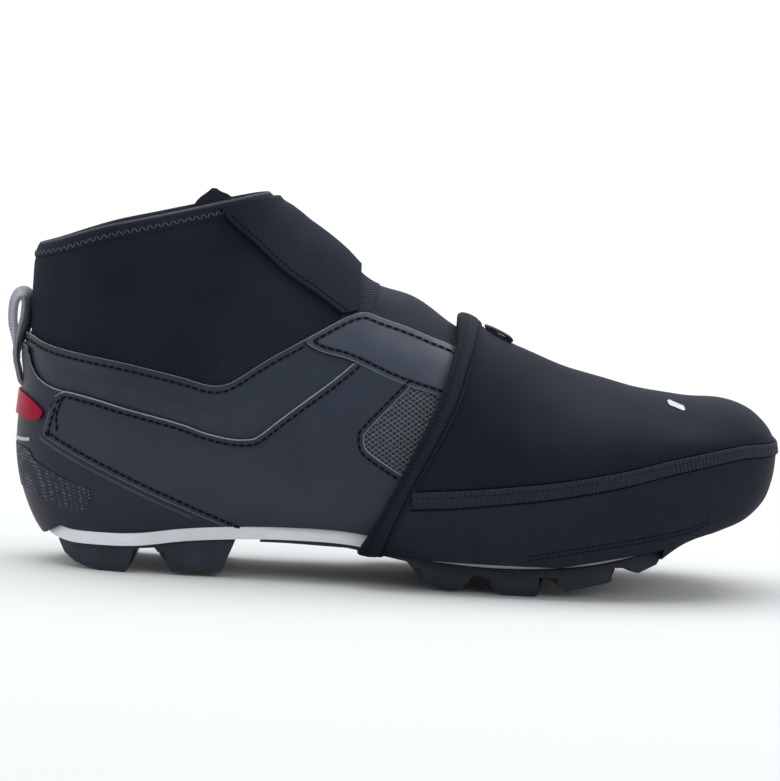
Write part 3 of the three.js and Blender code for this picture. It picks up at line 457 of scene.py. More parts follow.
def crease_relief(creases, points):
    """How far soft creases move each point of a form along its normal."""
    shape = points.shape[:-1]
    flat = points.reshape(-1, 3)
    total = np.zeros(len(flat))
    for side, line, depth, width in creases:
        line = drawn(np.array(line, float), 3)
        nearest = np.full(len(flat), 1e9)
        along = np.zeros(len(flat))
        reach = reached(line)
        for i, (a, b) in enumerate(zip(line[:-1], line[1:])):
            span = b - a
            t = np.clip(((flat[:, [0, 2]] - a) @ span) / (span @ span), 0, 1)
            gap = np.linalg.norm(flat[:, [0, 2]] - (a + t[:, None] * span), axis=1)
            closer = gap < nearest
            nearest = np.where(closer, gap, nearest)
            along = np.where(closer, (reach[i] + t * (reach[i + 1] - reach[i])) / reach[-1], along)
        fade = np.sin(np.clip(along, 0.02, 0.98) * math.pi) ** 0.5
        sided = 1.0 if side == 0 else np.clip(flat[:, 1] * side / 14, 0, 1)
        total += depth * np.exp(-((nearest / width) ** 2)) * fade * sided
    x, y, z = flat.T
    swell = 0.16 * np.sin(x / 9.1 + y / 14.3 + 1.3) * np.sin(z / 10.7 - y / 19.0 + 0.4)
    ripple = 0.12 * np.sin(x / 5.3 - z / 7.9 + y / 8.1)
    return (total + (swell + ripple)).reshape(shape)


class Form:
    """A body drawn through its sections: the outside of the shoe, or the inside of the overshoe."""

    def __init__(self, sections, rings, around, creases):
        rows = between(np.array(sections), np.linspace(0, len(sections) - 1, rings))
        crest = rows[:, None, 0:2] * (LENGTH, COLLAR_HEIGHT)
        low = rows[:, None, 2:4] * (LENGTH, COLLAR_HEIGHT)
        centre, half, widest, squareness = rows[:, 4:5], rows[:, 5:6], rows[:, 6:7, None], rows[:, 7:9]
        turn = 2 * math.pi * np.arange(around) / around
        up, out = np.cos(turn)[None], -np.sin(turn)[None]
        power = np.where(up > 0, squareness[:, 0:1], squareness[:, 1:2])
        radius = (np.abs(up) ** power + np.abs(out) ** power) ** (-1 / power)
        middle = low + (crest - low) * widest
        target = np.where(up[..., None] > 0, crest, low)
        flat = middle + (target - middle) * (np.abs(up) * radius)[..., None]
        width = (centre + half * out * radius) * BALL_WIDTH
        self.points = np.stack([flat[..., 0], width, flat[..., 1]], -1)
        along = np.empty_like(self.points)
        along[1:-1] = self.points[2:] - self.points[:-2]
        along[0], along[-1] = self.points[1] - self.points[0], self.points[-1] - self.points[-2]
        about = np.roll(self.points, -1, 1) - np.roll(self.points, 1, 1)
        self.normals = unit(np.cross(along, about))
        self.relief = crease_relief(creases, self.points)
        self.surfaces = {}

    def at(self, distance):
        return self.points + self.normals * (distance + self.relief)[..., None]

    def surface(self, distance):
        """What rays meet at a distance from the form."""
        key = round(distance, 3)
        if key not in self.surfaces:
            points = self.at(distance)
            rings, around = points.shape[:2]
            first = np.arange(rings - 1)[:, None] * around + np.arange(around)[None]
            second = np.arange(rings - 1)[:, None] * around + (np.arange(around)[None] + 1) % around
            faces = np.stack([first, second, second + around, first + around], -1).reshape(-1, 4)
            self.surfaces[key] = BVHTree.FromPolygons(points.reshape(-1, 3).tolist(), faces.tolist())
        return self.surfaces[key]

    def meet(self, distance, origin, direction):
        place, normal, _, _ = self.surface(distance).ray_cast(Vector(origin), Vector(direction))
        if place is None:
            return None
        facing = np.array(normal)
        return np.array(place), facing if facing @ np.array(direction) < 0 else -facing

    def laid(self, distance, line, side, step=0.8):
        """A side-view line laid on one side of the form, as points and normals."""
        line = np.asarray(line, float)
        line = taken(line, paced(line, step))
        met = [self.meet(distance, (x, side * 200, z), (0, -side, 0)) for x, z in line]
        met = [m for m in met if m is not None]
        return np.array([m[0] for m in met]), calmed(np.array([m[1] for m in met]))

    def laid_round(self, distance, line, start, centre, spread, step=0.8, toe=False):
        """A side-view line laid on one side from start, then round the heel or toe to the other."""
        line = np.asarray(line, float)

        def height(x):
            return float(np.interp(x, line[:, 0], line[:, 1]))

        xs = np.arange(start, centre[0], step if toe else -step)
        stations = [((x, -200.0), (0.0, 1.0)) for x in xs]
        for turn in np.linspace(-math.pi / 2, math.pi / 2, spread):
            heading = (math.cos(turn) * (1 if toe else -1), math.sin(turn))
            stations.append((tuple(centre), heading))
        stations += [((x, 200.0), (0.0, -1.0)) for x in xs[::-1]]
        found = []
        z = height(start)
        for (x, y), (dx, dy) in stations:
            inside = abs(y) < 100
            for _ in range(4):
                if inside:
                    met = self.meet(distance, (x + dx * 150, y + dy * 150, z), (-dx, -dy, 0))
                else:
                    met = self.meet(distance, (x, y, z), (dx, dy, 0))
                if met is None:
                    break
                z = height(met[0][0])
            if met is not None:
                found.append(met)
        return np.array([m[0] for m in found]), calmed(np.array([m[1] for m in found]))

    def walked(self, distance, level, offsets):
        """Where each lengthwise line of the form crosses an edge, and places at set distances from there."""
        points = self.at(distance)
        shown, facing, starts = [], [], []
        for j in range(points.shape[1]):
            line, normals = points[:, j], self.normals[:, j]
            value = level(line)
            change = np.nonzero((value[:-1] < 0) & (value[1:] >= 0))[0]
            if not len(change):
                raise RuntimeError("an edge doesn't cross the form")
            i = change[0]
            reach = reached(line)
            start = reach[i] + (reach[i + 1] - reach[i]) * (-value[i]) / (value[i + 1] - value[i])
            at = np.interp(start + np.asarray(offsets, float), reach, np.arange(len(reach)))
            shown.append(taken(line, at))
            facing.append(unit(taken(normals, at)))
            starts.append(start)
        return np.array(shown), np.array(facing), np.array(starts)


def calmed(values, passes=3):
    """Evens out unit vectors along a line."""
    for _ in range(passes):
        values = unit(np.vstack([values[:1], (values[:-2] + 2 * values[1:-1] + values[2:]) / 4, values[-1:]]))
    return values


SHOE = Form(SHOE_SECTIONS, 190, 132, SHOE_CREASES)
COVER = Form(COVER_SECTIONS, 150, 132, COVER_CREASES)


# Working with Blender's tools


def only(*pieces):
    bpy.ops.object.select_all(action="DESELECT")
    for piece in pieces:
        piece.select_set(True)
    bpy.context.view_layer.objects.active = pieces[0]


def in_edit(piece, *steps):
    """Runs edit-mode steps on the whole of a piece."""
    only(piece)
    bpy.ops.object.mode_set(mode="EDIT")
    bpy.ops.mesh.select_all(action="SELECT")
    for step in steps:
        step()
    bpy.ops.object.mode_set(mode="OBJECT")
    return piece


def weld():
    bpy.ops.mesh.remove_doubles(threshold=1e-6)


def face_out():
    bpy.ops.mesh.normals_make_consistent(inside=False)


def netted(name, grid, ring=False, hoop=False):
    """A mesh over rows of points. ring closes each row on itself, hoop joins the last row to the first."""
    grid = np.asarray(grid, float)
    if ring:
        grid = np.concatenate([grid, grid[:, :1]], 1)
    if hoop:
        grid = np.concatenate([grid, grid[:1]], 0)
    elif ring:
        ends = [row[:, :-1].mean(1, keepdims=True) for row in (grid[:1], grid[-1:])]
        first, last = (np.repeat(end, grid.shape[1], 1) for end in ends)
        grid = np.concatenate([first, grid, last], 0)
    rows, columns = grid.shape[:2]
    bpy.ops.object.select_all(action="DESELECT")
    bpy.ops.mesh.primitive_grid_add(x_subdivisions=columns - 1, y_subdivisions=rows - 1, size=1)
    piece = bpy.context.object
    piece.name = piece.data.name = name
    piece.data.vertices.foreach_set("co", metres(grid).reshape(-1))
    piece.data.update()
    return in_edit(piece, weld, face_out) if ring else piece


def across(outline, start=-BEYOND, end=BEYOND):
    """A cutter through the shoe from side to side."""
    x, z = np.asarray(outline, float).T
    return raised(np.stack([x, np.full(len(x), start), z], 1), (0, end - start, 0))


def upward(outline, start=-BEYOND, end=BEYOND):
    """A cutter up through the shoe from a plan."""
    outline = np.asarray(outline, float)
    return raised(np.column_stack([outline, np.full(len(outline), start)]), (0, 0, end - start))


def raised(ring, travel):
    bpy.ops.object.select_all(action="DESELECT")
    bpy.ops.mesh.primitive_circle_add(vertices=len(ring), fill_type="NGON")
    tool = bpy.context.object
    tool.data.vertices.foreach_set("co", metres(ring).reshape(-1))
    tool.data.update()
    lift = {"value": tuple(t / 1000 for t in travel)}
    return in_edit(
        tool,
        lambda: bpy.ops.mesh.extrude_region_move(TRANSFORM_OT_translate=lift),
        lambda: bpy.ops.mesh.select_all(action="SELECT"),
        face_out,
    )


def cut(piece, tool, operation):
    """Cuts a piece with a tool and throws the tool away."""
    only(piece)
    before = len(piece.data.vertices)
    for solver in ("MANIFOLD", "EXACT"):
        change = piece.modifiers.new("cut", "BOOLEAN")
        change.operation, change.object, change.solver = operation, tool, solver
        bpy.ops.object.modifier_apply(modifier=change.name)
        if len(piece.data.vertices) not in (0, before):
            break
    if not piece.data.vertices:
        raise RuntimeError(f"nothing is left of {piece.name} after a cut")
    bpy.data.objects.remove(tool)
    return piece


def kept(piece, *tools):
    for tool in tools:
        cut(piece, tool, "INTERSECT")
    return piece


def without(piece, *tools):
    for tool in tools:
        cut(piece, tool, "DIFFERENCE")
    return piece


def joined(name, pieces):
    only(*pieces)
    if len(pieces) > 1:
        bpy.ops.object.join()
    pieces[0].name = pieces[0].data.name = name
    return pieces[0]


def largest(piece):
    """The biggest of what a cut has left in several."""
    in_edit(piece, lambda: bpy.ops.mesh.separate(type="LOOSE"))
    parts = sorted(bpy.context.selected_objects, key=lambda o: -len(o.data.vertices))
    name = piece.name
    for part in parts[1:]:
        bpy.data.objects.remove(part)
    parts[0].name = parts[0].data.name = name
    return parts[0]


def ply(name, form, inner, outer):
    """A hollow wall of a form between two distances."""
    inside = netted("inside", form.at(inner), ring=True)
    in_edit(inside, lambda: bpy.ops.mesh.flip_normals())
    return joined(name, [netted(name, form.at(outer), ring=True), inside])


def rim_faces(piece, form, distance):
    """Numbers of the faces on a cut edge, which stand square to the form."""
    count = len(piece.data.polygons)
    centres, facing = np.empty(count * 3), np.empty(count * 3)
    piece.data.polygons.foreach_get("center", centres)
    piece.data.polygons.foreach_get("normal", facing)
    centres = (centres.reshape(-1, 3) - ORIGIN) * 1000
    facing = facing.reshape(-1, 3)
    surface = form.surface(distance)
    found = []
    for i in range(count):
        _, normal, _, _ = surface.find_nearest(Vector(centres[i]))
        if normal is not None and abs(normal.dot(Vector(facing[i]))) < 0.55:
            found.append(i)
    return found


def dressed(piece, materials, nodes=(), edge_of=None, angle=38.0):
    """Gives a finished piece its materials, its shading and its place in the frame."""
    piece.data.materials.clear()
    for material in materials if isinstance(materials, (list, tuple)) else [materials]:
        piece.data.materials.append(material)
    piece.data.polygons.foreach_set("material_index", np.zeros(len(piece.data.polygons), np.int32))
    if edge_of:
        for i in rim_faces(piece, *edge_of):
            piece.data.polygons[i].material_index = 1
    only(piece)
    bpy.ops.object.shade_smooth_by_angle(angle=math.radians(angle))
    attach(piece, "root")
    if nodes:
        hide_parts(*nodes)
    return piece


def panelled(piece, material, node, distance):
    """Dresses a leather panel, its cut edges in the light edge colour, partly their own and partly a painted
    highlight.
    """
    return dressed(piece, [finish(material), finish("edge")], [node], (SHOE, distance))


def softened(piece, width, segments=2, angle=35.0):
    """Rounds the sharp edges of a piece."""
    only(piece)
    edge = piece.modifiers.new("round", "BEVEL")
    edge.width, edge.segments = width / 1000, segments
    edge.limit_method, edge.angle_limit = "ANGLE", math.radians(angle)
    bpy.ops.object.modifier_apply(modifier=edge.name)
    return piece


def swept(name, points, normals, profile, hoop=False, widths=1.0):
    """A strip or tube along a line: profile holds (across, outward), widths stretches it place by place."""
    onward = np.roll(points, -1, 0) - np.roll(points, 1, 0)
    if not hoop:
        onward[0], onward[-1] = points[1] - points[0], points[-1] - points[-2]
    onward = unit(onward)
    sideways = unit(np.cross(normals, onward))
    outward = np.cross(onward, sideways)
    profile = np.asarray(profile, float)
    spread = profile[None, :, :1] * (np.ones(len(points)) * widths)[:, None, None]
    grid = points[:, None] + sideways[:, None] * spread + outward[:, None] * profile[None, :, 1:]
    return netted(name, grid, ring=True, hoop=hoop)


def round_profile(radius, sides=8, flatten=1.0):
    turn = 2 * math.pi * np.arange(sides) / sides
    return np.stack([np.cos(turn) * radius, np.sin(turn) * radius * flatten], 1)


def pillow_profile(width, thick, corner, floor=0.0):
    """A flat strip with rounded upper corners."""
    bend = np.linspace(0, math.pi / 2, 4)
    right = [(width / 2 - corner + corner * math.cos(a), thick - corner + corner * math.sin(a)) for a in bend]
    left = [(-x, y) for x, y in right[::-1]]
    return np.array([(width / 2, floor), *right, (0.0, thick + corner * 0.15), *left, (-width / 2, floor)])


def ribbon_profile(width, thick, corner):
    """A flat strip with all its corners rounded."""
    flat = pillow_profile(width, thick, corner)
    return np.vstack([flat, -flat[::-1]])


def standing(path):
    """Normals of a ribbon that runs along the middle of the shoe."""
    return np.cross(unit(np.gradient(path, axis=0)), np.tile(ACROSS, (len(path), 1)))


def bead(name, laid, diameter, flatten=0.85):
    points, normals = laid
    return swept(name, points, normals, round_profile(diameter / 2, 8, flatten))


def one_stitch(length, thread):
    """A short length of thread with rounded ends, lying along X."""
    bpy.ops.object.select_all(action="DESELECT")
    bpy.ops.mesh.primitive_uv_sphere_add(segments=8, ring_count=6, radius=thread / 2000)
    turn = {"value": math.pi / 2, "orient_axis": "Y", "center_override": (0, 0, 0)}
    stitch = in_edit(bpy.context.object, lambda: bpy.ops.transform.rotate(**turn))
    stretch = max(length - thread, 0) / 2000
    for vertex in stitch.data.vertices:
        if abs(vertex.co.x) > 1e-5:
            vertex.co.x += math.copysign(stretch, vertex.co.x)
    return stitch


def sewn(name, laid, pitch, length, thread, zigzag=0.0, lift=0.0):
    """A row of stitches along a line: one stitch, copied, each copy with its own mesh, then joined."""
    points, normals = laid
    at = paced(points, pitch)
    places, facing = taken(points, at), unit(taken(normals, at))
    ahead = unit(np.gradient(places, axis=0))
    pattern = one_stitch(length, thread)
    made = []
    for i, (place, normal, onward) in enumerate(zip(places, facing, ahead)):
        onward = onward - normal * (onward @ normal)
        onward /= np.linalg.norm(onward)
        sideways = np.cross(normal, onward)
        angle = zigzag if i % 2 else -zigzag
        along = onward * math.cos(angle) + sideways * math.sin(angle)
        beside = np.cross(normal, along)
        copy = pattern.copy()
        copy.data = pattern.data.copy()
        bpy.context.collection.objects.link(copy)
        turn = Matrix(np.stack([along, beside, normal], 1).tolist()).to_4x4()
        copy.data.transform(Matrix.Translation(Vector(metres(place + normal * lift))) @ turn)
        made.append(copy)
    bpy.data.objects.remove(pattern)
    return joined(name, made)


# Finishes


class Wire:
    """A number on a shader socket that takes part in sums."""

    def __init__(self, finish, socket):
        self.finish, self.socket = finish, socket

    def _sum(self, operation, *values):
        return self.finish.node("Math", {"operation": operation}, dict(enumerate(values)))

    def __add__(self, other):
        return self._sum("ADD", self, other)

    __radd__ = __add__

    def __sub__(self, other):
        return self._sum("SUBTRACT", self, other)

    def __rsub__(self, other):
        return self._sum("SUBTRACT", other, self)

    def __mul__(self, other):
        return self._sum("MULTIPLY", self, other)

    __rmul__ = __mul__

    def __truediv__(self, other):
        return self._sum("DIVIDE", self, other)

    def __pow__(self, other):
        return self._sum("POWER", self, other)

    def sine(self):
        return self._sum("SINE", self)

    def size(self):
        return self._sum("ABSOLUTE", self)

    def over(self, other):
        return self._sum("MAXIMUM", self, other)

    def wave(self):
        """0 to 1 and back as an angle turns."""
        return self.sine() * 0.5 + 0.5


class Finish:
    """A material, or the light of the world, under construction."""

    def __init__(self, name, kind="materials"):
        self.material = getattr(bpy.data, kind).new(name)
        self.material.use_nodes = True
        self.tree = self.material.node_tree
        self.tree.nodes.clear()
        self.place = self.node("TexCoord", {}, {}, "Object")
        self.skin = self.node("TexCoord", {}, {}, "UV")

    def node(self, kind, settings, sockets, output=0):
        """Adds a node: settings first, then the values or links of its sockets. Gives one of its outputs."""
        made = self.tree.nodes.new("ShaderNode" + kind)
        for key, value in settings.items():
            setattr(made, key, value)
        for key, value in sockets.items():
            socket = made.inputs[key]
            if isinstance(value, Wire):
                self.tree.links.new(value.socket, socket)
            else:
                socket.default_value = (*value, 1) if socket.type == "RGBA" else value
        return Wire(self, made.outputs[output]) if output is not None else made

    def noise(self, size, detail=3.0, rough=0.55):
        """Cloudy noise whose patches are about size millimetres across."""
        sockets = {"Vector": self.place, "Scale": 1000 / size, "Detail": detail, "Roughness": rough}
        return self.node("TexNoise", {}, sockets, "Fac")

    def cells(self, size):
        return self.node("TexVoronoi", {}, {"Vector": self.place, "Scale": 1000 / size}, "Distance")

    def axes(self, where=None):
        made = self.node("SeparateXYZ", {}, {"Vector": where or self.place}, None)
        return [Wire(self, made.outputs[i]) for i in range(3)]

    def blend(self, factor, first, second):
        """One colour turning into another."""
        return self.node("Mix", {"data_type": "RGBA"}, {0: factor, 6: first, 7: second}, 2)

    def stepped(self, value, low, high):
        """0 below low, 1 above high, smooth between."""
        sockets = {"Value": value, "From Min": low, "From Max": high}
        return self.node("MapRange", {"interpolation_type": "SMOOTHSTEP"}, sockets)

    def toned(self, value, low, high, colour, dark, bright):
        """A darker shade of a colour turning into a brighter one as a value goes from low to high."""
        return self.blend(self.stepped(value, low, high), shade(colour, dark), shade(colour, bright))

    def bumped(self, height, depth):
        """Relief: height from 0 to 1 stands for depth in millimetres."""
        return self.node("Bump", {}, {"Height": height, "Distance": depth / 1000, "Strength": 1.0})

    def done(self, colour, roughness, normal, **constants):
        """The surface itself. constants are set on the shader's own sockets."""
        sockets = {"Base Color": colour, "Roughness": roughness, "Normal": normal}
        for key, value in constants.items():
            sockets[key.replace("_", " ").title().replace("Ior", "IOR")] = value
        self.node("OutputMaterial", {}, {"Surface": self.node("BsdfPrincipled", {}, sockets)}, None)
        return self.material


def shade(colour, factor):
    return tuple(min(1.0, c * factor) for c in colour)


def smooth_leather(name, colour, gloss=0.44, grain=0.02, level=0.3):
    """Coated synthetic leather: a fine pebble, cloudy colour and slightly uneven gloss."""
    f = Finish(name)
    cloud = f.noise(38, 2)
    haze = f.noise(6, 4)
    pebble = f.cells(0.75)
    fine = f.noise(0.35, 2)
    relief = pebble * 0.6 + fine * 0.5 + haze * 0.5
    tone = f.toned(cloud * 0.7 + haze * 0.3, 0.3, 0.7, colour, 0.86, 1.16)
    rough = haze * 0.16 + cloud * 0.1 + (gloss - 0.13)
    coat = {"coat_weight": 0.05, "coat_roughness": 0.4}
    return f.done(tone, rough, f.bumped(relief, grain), specular_ior_level=level, **coat)


def ribbed_knit(name, colour, lean, pitch=1.25, depth=0.16, bright=1.4):
    """Stretch neoprene faced with a fine twill: ribs that lean down towards the toe."""
    f = Finish(name)
    x, y, z = f.axes()
    sway = f.noise(22, 2)
    across_ribs = x * math.sin(lean) + z * math.cos(lean) + y * 0.12 + sway * 0.003
    rib = (across_ribs * (TURN / (pitch / 1000))).wave()
    along_ribs = x * math.cos(lean) - z * math.sin(lean) + y * 0.9
    loops = (along_ribs * (TURN / 0.0007) + rib * 2.0).wave()
    fuzz = f.noise(0.5, 3, 0.7)
    cloud = f.noise(30, 2)
    relief = rib * 0.45 + loops * 0.2 + fuzz * 0.5
    tone = f.toned(relief * 0.6 + fuzz * 0.25 + (cloud - 0.5) * 0.8, 0.1, 0.8, colour, 0.74, bright)
    return f.done(tone, fuzz * 0.12 + 0.72, f.bumped(relief, depth), specular_ior_level=0.09)


def plush_knit(name, colour):
    """Small V-shaped knit stitches."""
    f = Finish(name)
    x, y, z = f.axes()
    wale = (x + y) * (TURN / 0.0015)
    vee = (z * (TURN / 0.0009) + wale.sine().size() * 2.6).wave()
    fuzz = f.noise(0.6, 3, 0.7)
    relief = vee * 0.7 + fuzz * 0.4
    tone = f.toned(relief, 0.2, 1.0, colour, 0.45, 1.4)
    return f.done(tone, fuzz * 0.1 + 0.78, f.bumped(relief, 0.2), specular_ior_level=0.1)


def laminated_neoprene(name, colour):
    """Jersey-faced neoprene, smooth from a distance, with a faint fine knit and soft sheen."""
    f = Finish(name)
    x, y, z = f.axes()
    rows = ((x + y * 0.4) * (TURN / 0.00075)).sine() * ((z + y * 0.5) * (TURN / 0.0009)).sine() * 0.5 + 0.5
    fuzz = f.noise(0.45, 3, 0.7)
    cloud = f.noise(42, 2)
    patch = f.noise(7, 3)
    relief = rows * 0.45 + fuzz * 0.5 + patch * 0.5
    tone = f.toned(cloud * 0.65 + patch * 0.35 + (rows - 0.5) * 0.12, 0.3, 0.72, colour, 0.82, 1.2)
    return f.done(tone, fuzz * 0.1 + patch * 0.1 + 0.5, f.bumped(relief, 0.05), specular_ior_level=0.05)


def ridged_tape(name, colour, ridges):
    """Cover-stitched tape: ridges across it, counted along its own length, with loops of thread."""
    f = Finish(name)
    v, u, _ = f.axes(f.skin)
    ridge = (u * (TURN * ridges) + f.noise(3, 2) * 6.0).wave()
    threads = (v * (TURN * 4) + u * (math.pi * ridges)).wave()
    fuzz = f.noise(0.45, 3, 0.7)
    lane = f.stepped((v - 0.425).size(), 0.002, 0.014)
    relief = (ridge * 0.5 + threads * 0.2 + fuzz * 0.5) * (lane * 0.7 + 0.3)
    tone = f.toned(relief, 0.15, 0.95, colour, 0.5, 1.45)
    return f.done(tone, fuzz * 0.15 + 0.66, f.bumped(relief, 0.3), specular_ior_level=0.16)


def woven_binding(name, colour, ridges):
    """Elastic binding: a fine chevron weave along its own length and a darker fold near one edge."""
    f = Finish(name)
    v, u, _ = f.axes(f.skin)
    slant = (u * (TURN * ridges) + v * 9.0).wave()
    other = (u * (TURN * ridges) - v * 9.0).wave()
    weave = slant.over(other)
    cords = (v * (TURN * 17)).wave()
    fuzz = f.noise(0.4, 3, 0.7)
    relief = weave * 0.2 + cords * weave * 0.45 + fuzz * 0.4
    rear = f.stepped(v, 0.27, 0.33)
    tone = f.toned(relief - rear * 0.28, 0.12, 0.85, colour, 0.5, 1.5)
    return f.done(tone, fuzz * 0.12 + 0.7, f.bumped(relief, 0.16), specular_ior_level=0.1)


def open_mesh(name, colour, pitch=1.55, lean=0.95):
    """Spacer mesh: light threads round small dark holes in offset rows."""
    f = Finish(name)
    x, _, z = f.axes()
    drift = f.noise(1.6, 2) * 0.0007
    per_hole = math.pi / (pitch / 1000)
    one = (x * math.cos(lean) + z * math.sin(lean) + drift) * per_hole
    two = (x * math.cos(lean) - z * math.sin(lean) - drift) * per_hole
    hole = one.sine().size() * two.sine().size()
    fuzz = f.noise(0.5, 3, 0.7)
    thread = 1.0 - f.stepped(hole + (fuzz - 0.5) * 0.3, 0.22, 0.62)
    tone = f.blend(thread, shade(colour, 0.1), f.toned(fuzz, 0.35, 0.7, colour, 0.8, 1.9))
    rough = 0.62 - thread * 0.14
    return f.done(tone, rough, f.bumped(thread * 0.8 + fuzz * 0.25, 0.35), specular_ior_level=0.3)


def printed_mesh(name, colour, ground):
    """Rows of small light dashes printed over dark fabric."""
    f = Finish(name)
    x, y, z = f.axes()
    row = (z + x * 0.22) * (TURN / 0.0013)
    dash = ((x + z * 0.3 + y * 0.7) * (TURN / 0.0015) + row.sine() * 1.4).wave()
    wear = f.noise(1.4, 3, 0.7)
    mark = f.stepped(row.wave(), 0.45, 0.8) * f.stepped(dash, 0.35, 0.7) * f.stepped(wear, 0.4, 0.62)
    tone = f.blend(mark, shade(ground, 0.85), colour)
    return f.done(tone, 0.6 - mark * 0.2, f.bumped(mark + wear * 0.2, 0.12), specular_ior_level=0.3)


def nylon(name, colour):
    """Moulded nylon: nearly even, with a faint mottle and fine flow marks."""
    f = Finish(name)
    cloud = f.noise(26, 3)
    speck = f.noise(0.8, 2, 0.7)
    tone = f.toned(cloud, 0.3, 0.7, colour, 0.9, 1.06)
    relief = f.bumped(speck * 0.5 + cloud * 0.5, 0.05)
    return f.done(tone, speck * 0.16 + cloud * 0.08 + 0.3, relief, specular_ior_level=0.45)


def moulded_rubber(name, colour):
    """Outsole rubber with a fine matt texture, lighter where it scuffs low down."""
    f = Finish(name)
    _, _, z = f.axes()
    speck = f.noise(0.7, 3, 0.7)
    cloud = f.noise(12, 3)
    scuff = f.stepped(z + (cloud - 0.5) * 0.006, 0.004, -0.001) * 0.5
    wear = f.stepped(cloud, 0.3, 0.75) * 0.6 + scuff * 0.4
    tone = f.blend(wear, shade(colour, 0.8), shade(colour, 1.5))
    return f.done(tone, speck * 0.2 + 0.45, f.bumped(speck, 0.06), specular_ior_level=0.32)


def twisted_thread(name, colour):
    """Bonded thread with its twist."""
    f = Finish(name)
    x, y, z = f.axes()
    twist = ((x + z * 0.8 + y * 0.6) * (TURN / 0.00035)).wave()
    tone = f.blend(twist, shade(colour, 0.7), shade(colour, 1.5))
    return f.done(tone, 0.5 + twist * 0.12, f.bumped(twist, 0.05), specular_ior_level=0.08)


def plain_webbing(name, colour, courses):
    """Ribbed grosgrain webbing counted along its own length."""
    f = Finish(name)
    v, u, _ = f.axes(f.skin)
    rib = (u * (TURN * courses)).wave()
    warp = (v * (TURN * 13)).wave()
    fuzz = f.noise(0.5, 3, 0.7)
    relief = rib * 0.35 + warp * 0.3 + fuzz * 0.45
    tone = f.toned(relief, 0.1, 1.0, colour, 0.65, 1.3)
    return f.done(tone, 0.6 + fuzz * 0.1, f.bumped(relief, 0.09), specular_ior_level=0.3)


def glossy_label(name, colour):
    """Moulded soft plastic with a little wear."""
    f = Finish(name)
    cloud = f.noise(7, 3)
    speck = f.noise(0.5, 2)
    tone = f.toned(cloud, 0.3, 0.7, colour, 0.85, 1.1)
    relief = f.bumped(cloud * 0.5 + speck * 0.5, 0.03)
    return f.done(tone, 0.3 + speck * 0.14, relief, specular_ior_level=0.1)


def reflective_film(name, colour):
    """Silver film with a fine bead texture."""
    f = Finish(name)
    grain = f.cells(0.28)
    tone = f.toned(grain, 0.1, 0.6, colour, 1.0, 0.72)
    return f.done(tone, 0.34 + grain * 0.2, f.bumped(grain, 0.02), metallic=0.15)


def soft_foam(name, colour):
    """Fabric-topped foam with a fine pile."""
    f = Finish(name)
    pile = f.noise(0.7, 3, 0.75)
    cloud = f.noise(16, 2)
    tone = f.toned(pile * 0.5 + cloud * 0.5, 0.3, 0.75, colour, 0.7, 1.3)
    return f.done(tone, 0.85 + pile * 0.1, f.bumped(pile, 0.2), specular_ior_level=0.15)


def surround(f, y, z, near, far):
    """Even studio light, brighter from behind the shoe than from the camera's side."""
    return f.blend(f.stepped(y + z * 0.35, -0.5, 0.2), shade((0.97, 0.99, 1.0), near), (0.99 * far, far, far))


def studio_world(name, near, far):
    f = Finish(name, "worlds")
    _, y, z = f.axes(f.node("TexCoord", {}, {}, "Generated"))
    glow = f.node("Background", {}, {"Color": surround(f, y, z, near, far), "Strength": 1.0})
    f.node("OutputWorld", {}, {"Surface": glow}, None)
    return f.material


def studio_floor(name, colour, near, far):
    """Pale paper that runs out into the light round it."""
    f = Finish(name)
    x, y, _ = f.axes()
    away = (x * x + y * y) ** 0.5
    paper = f.noise(60, 2)
    tone = f.blend(paper, shade(colour, 0.99), colour)
    sockets = {"Base Color": tone, "Roughness": paper * 0.05 + 0.8, "Specular IOR Level": 0.1}
    surface = f.node("BsdfPrincipled", {}, sockets)
    light = surround(f, y / away.over(0.01), 0.0, near, far)
    glow = f.node("Emission", {}, {"Color": light, "Strength": 1.0})
    mixed = f.node("MixShader", {}, {0: f.stepped(away, 0.02, 0.8), 1: surface, 2: glow})
    f.node("OutputMaterial", {}, {"Surface": mixed}, None)
    return f.material


FINISHES = {}


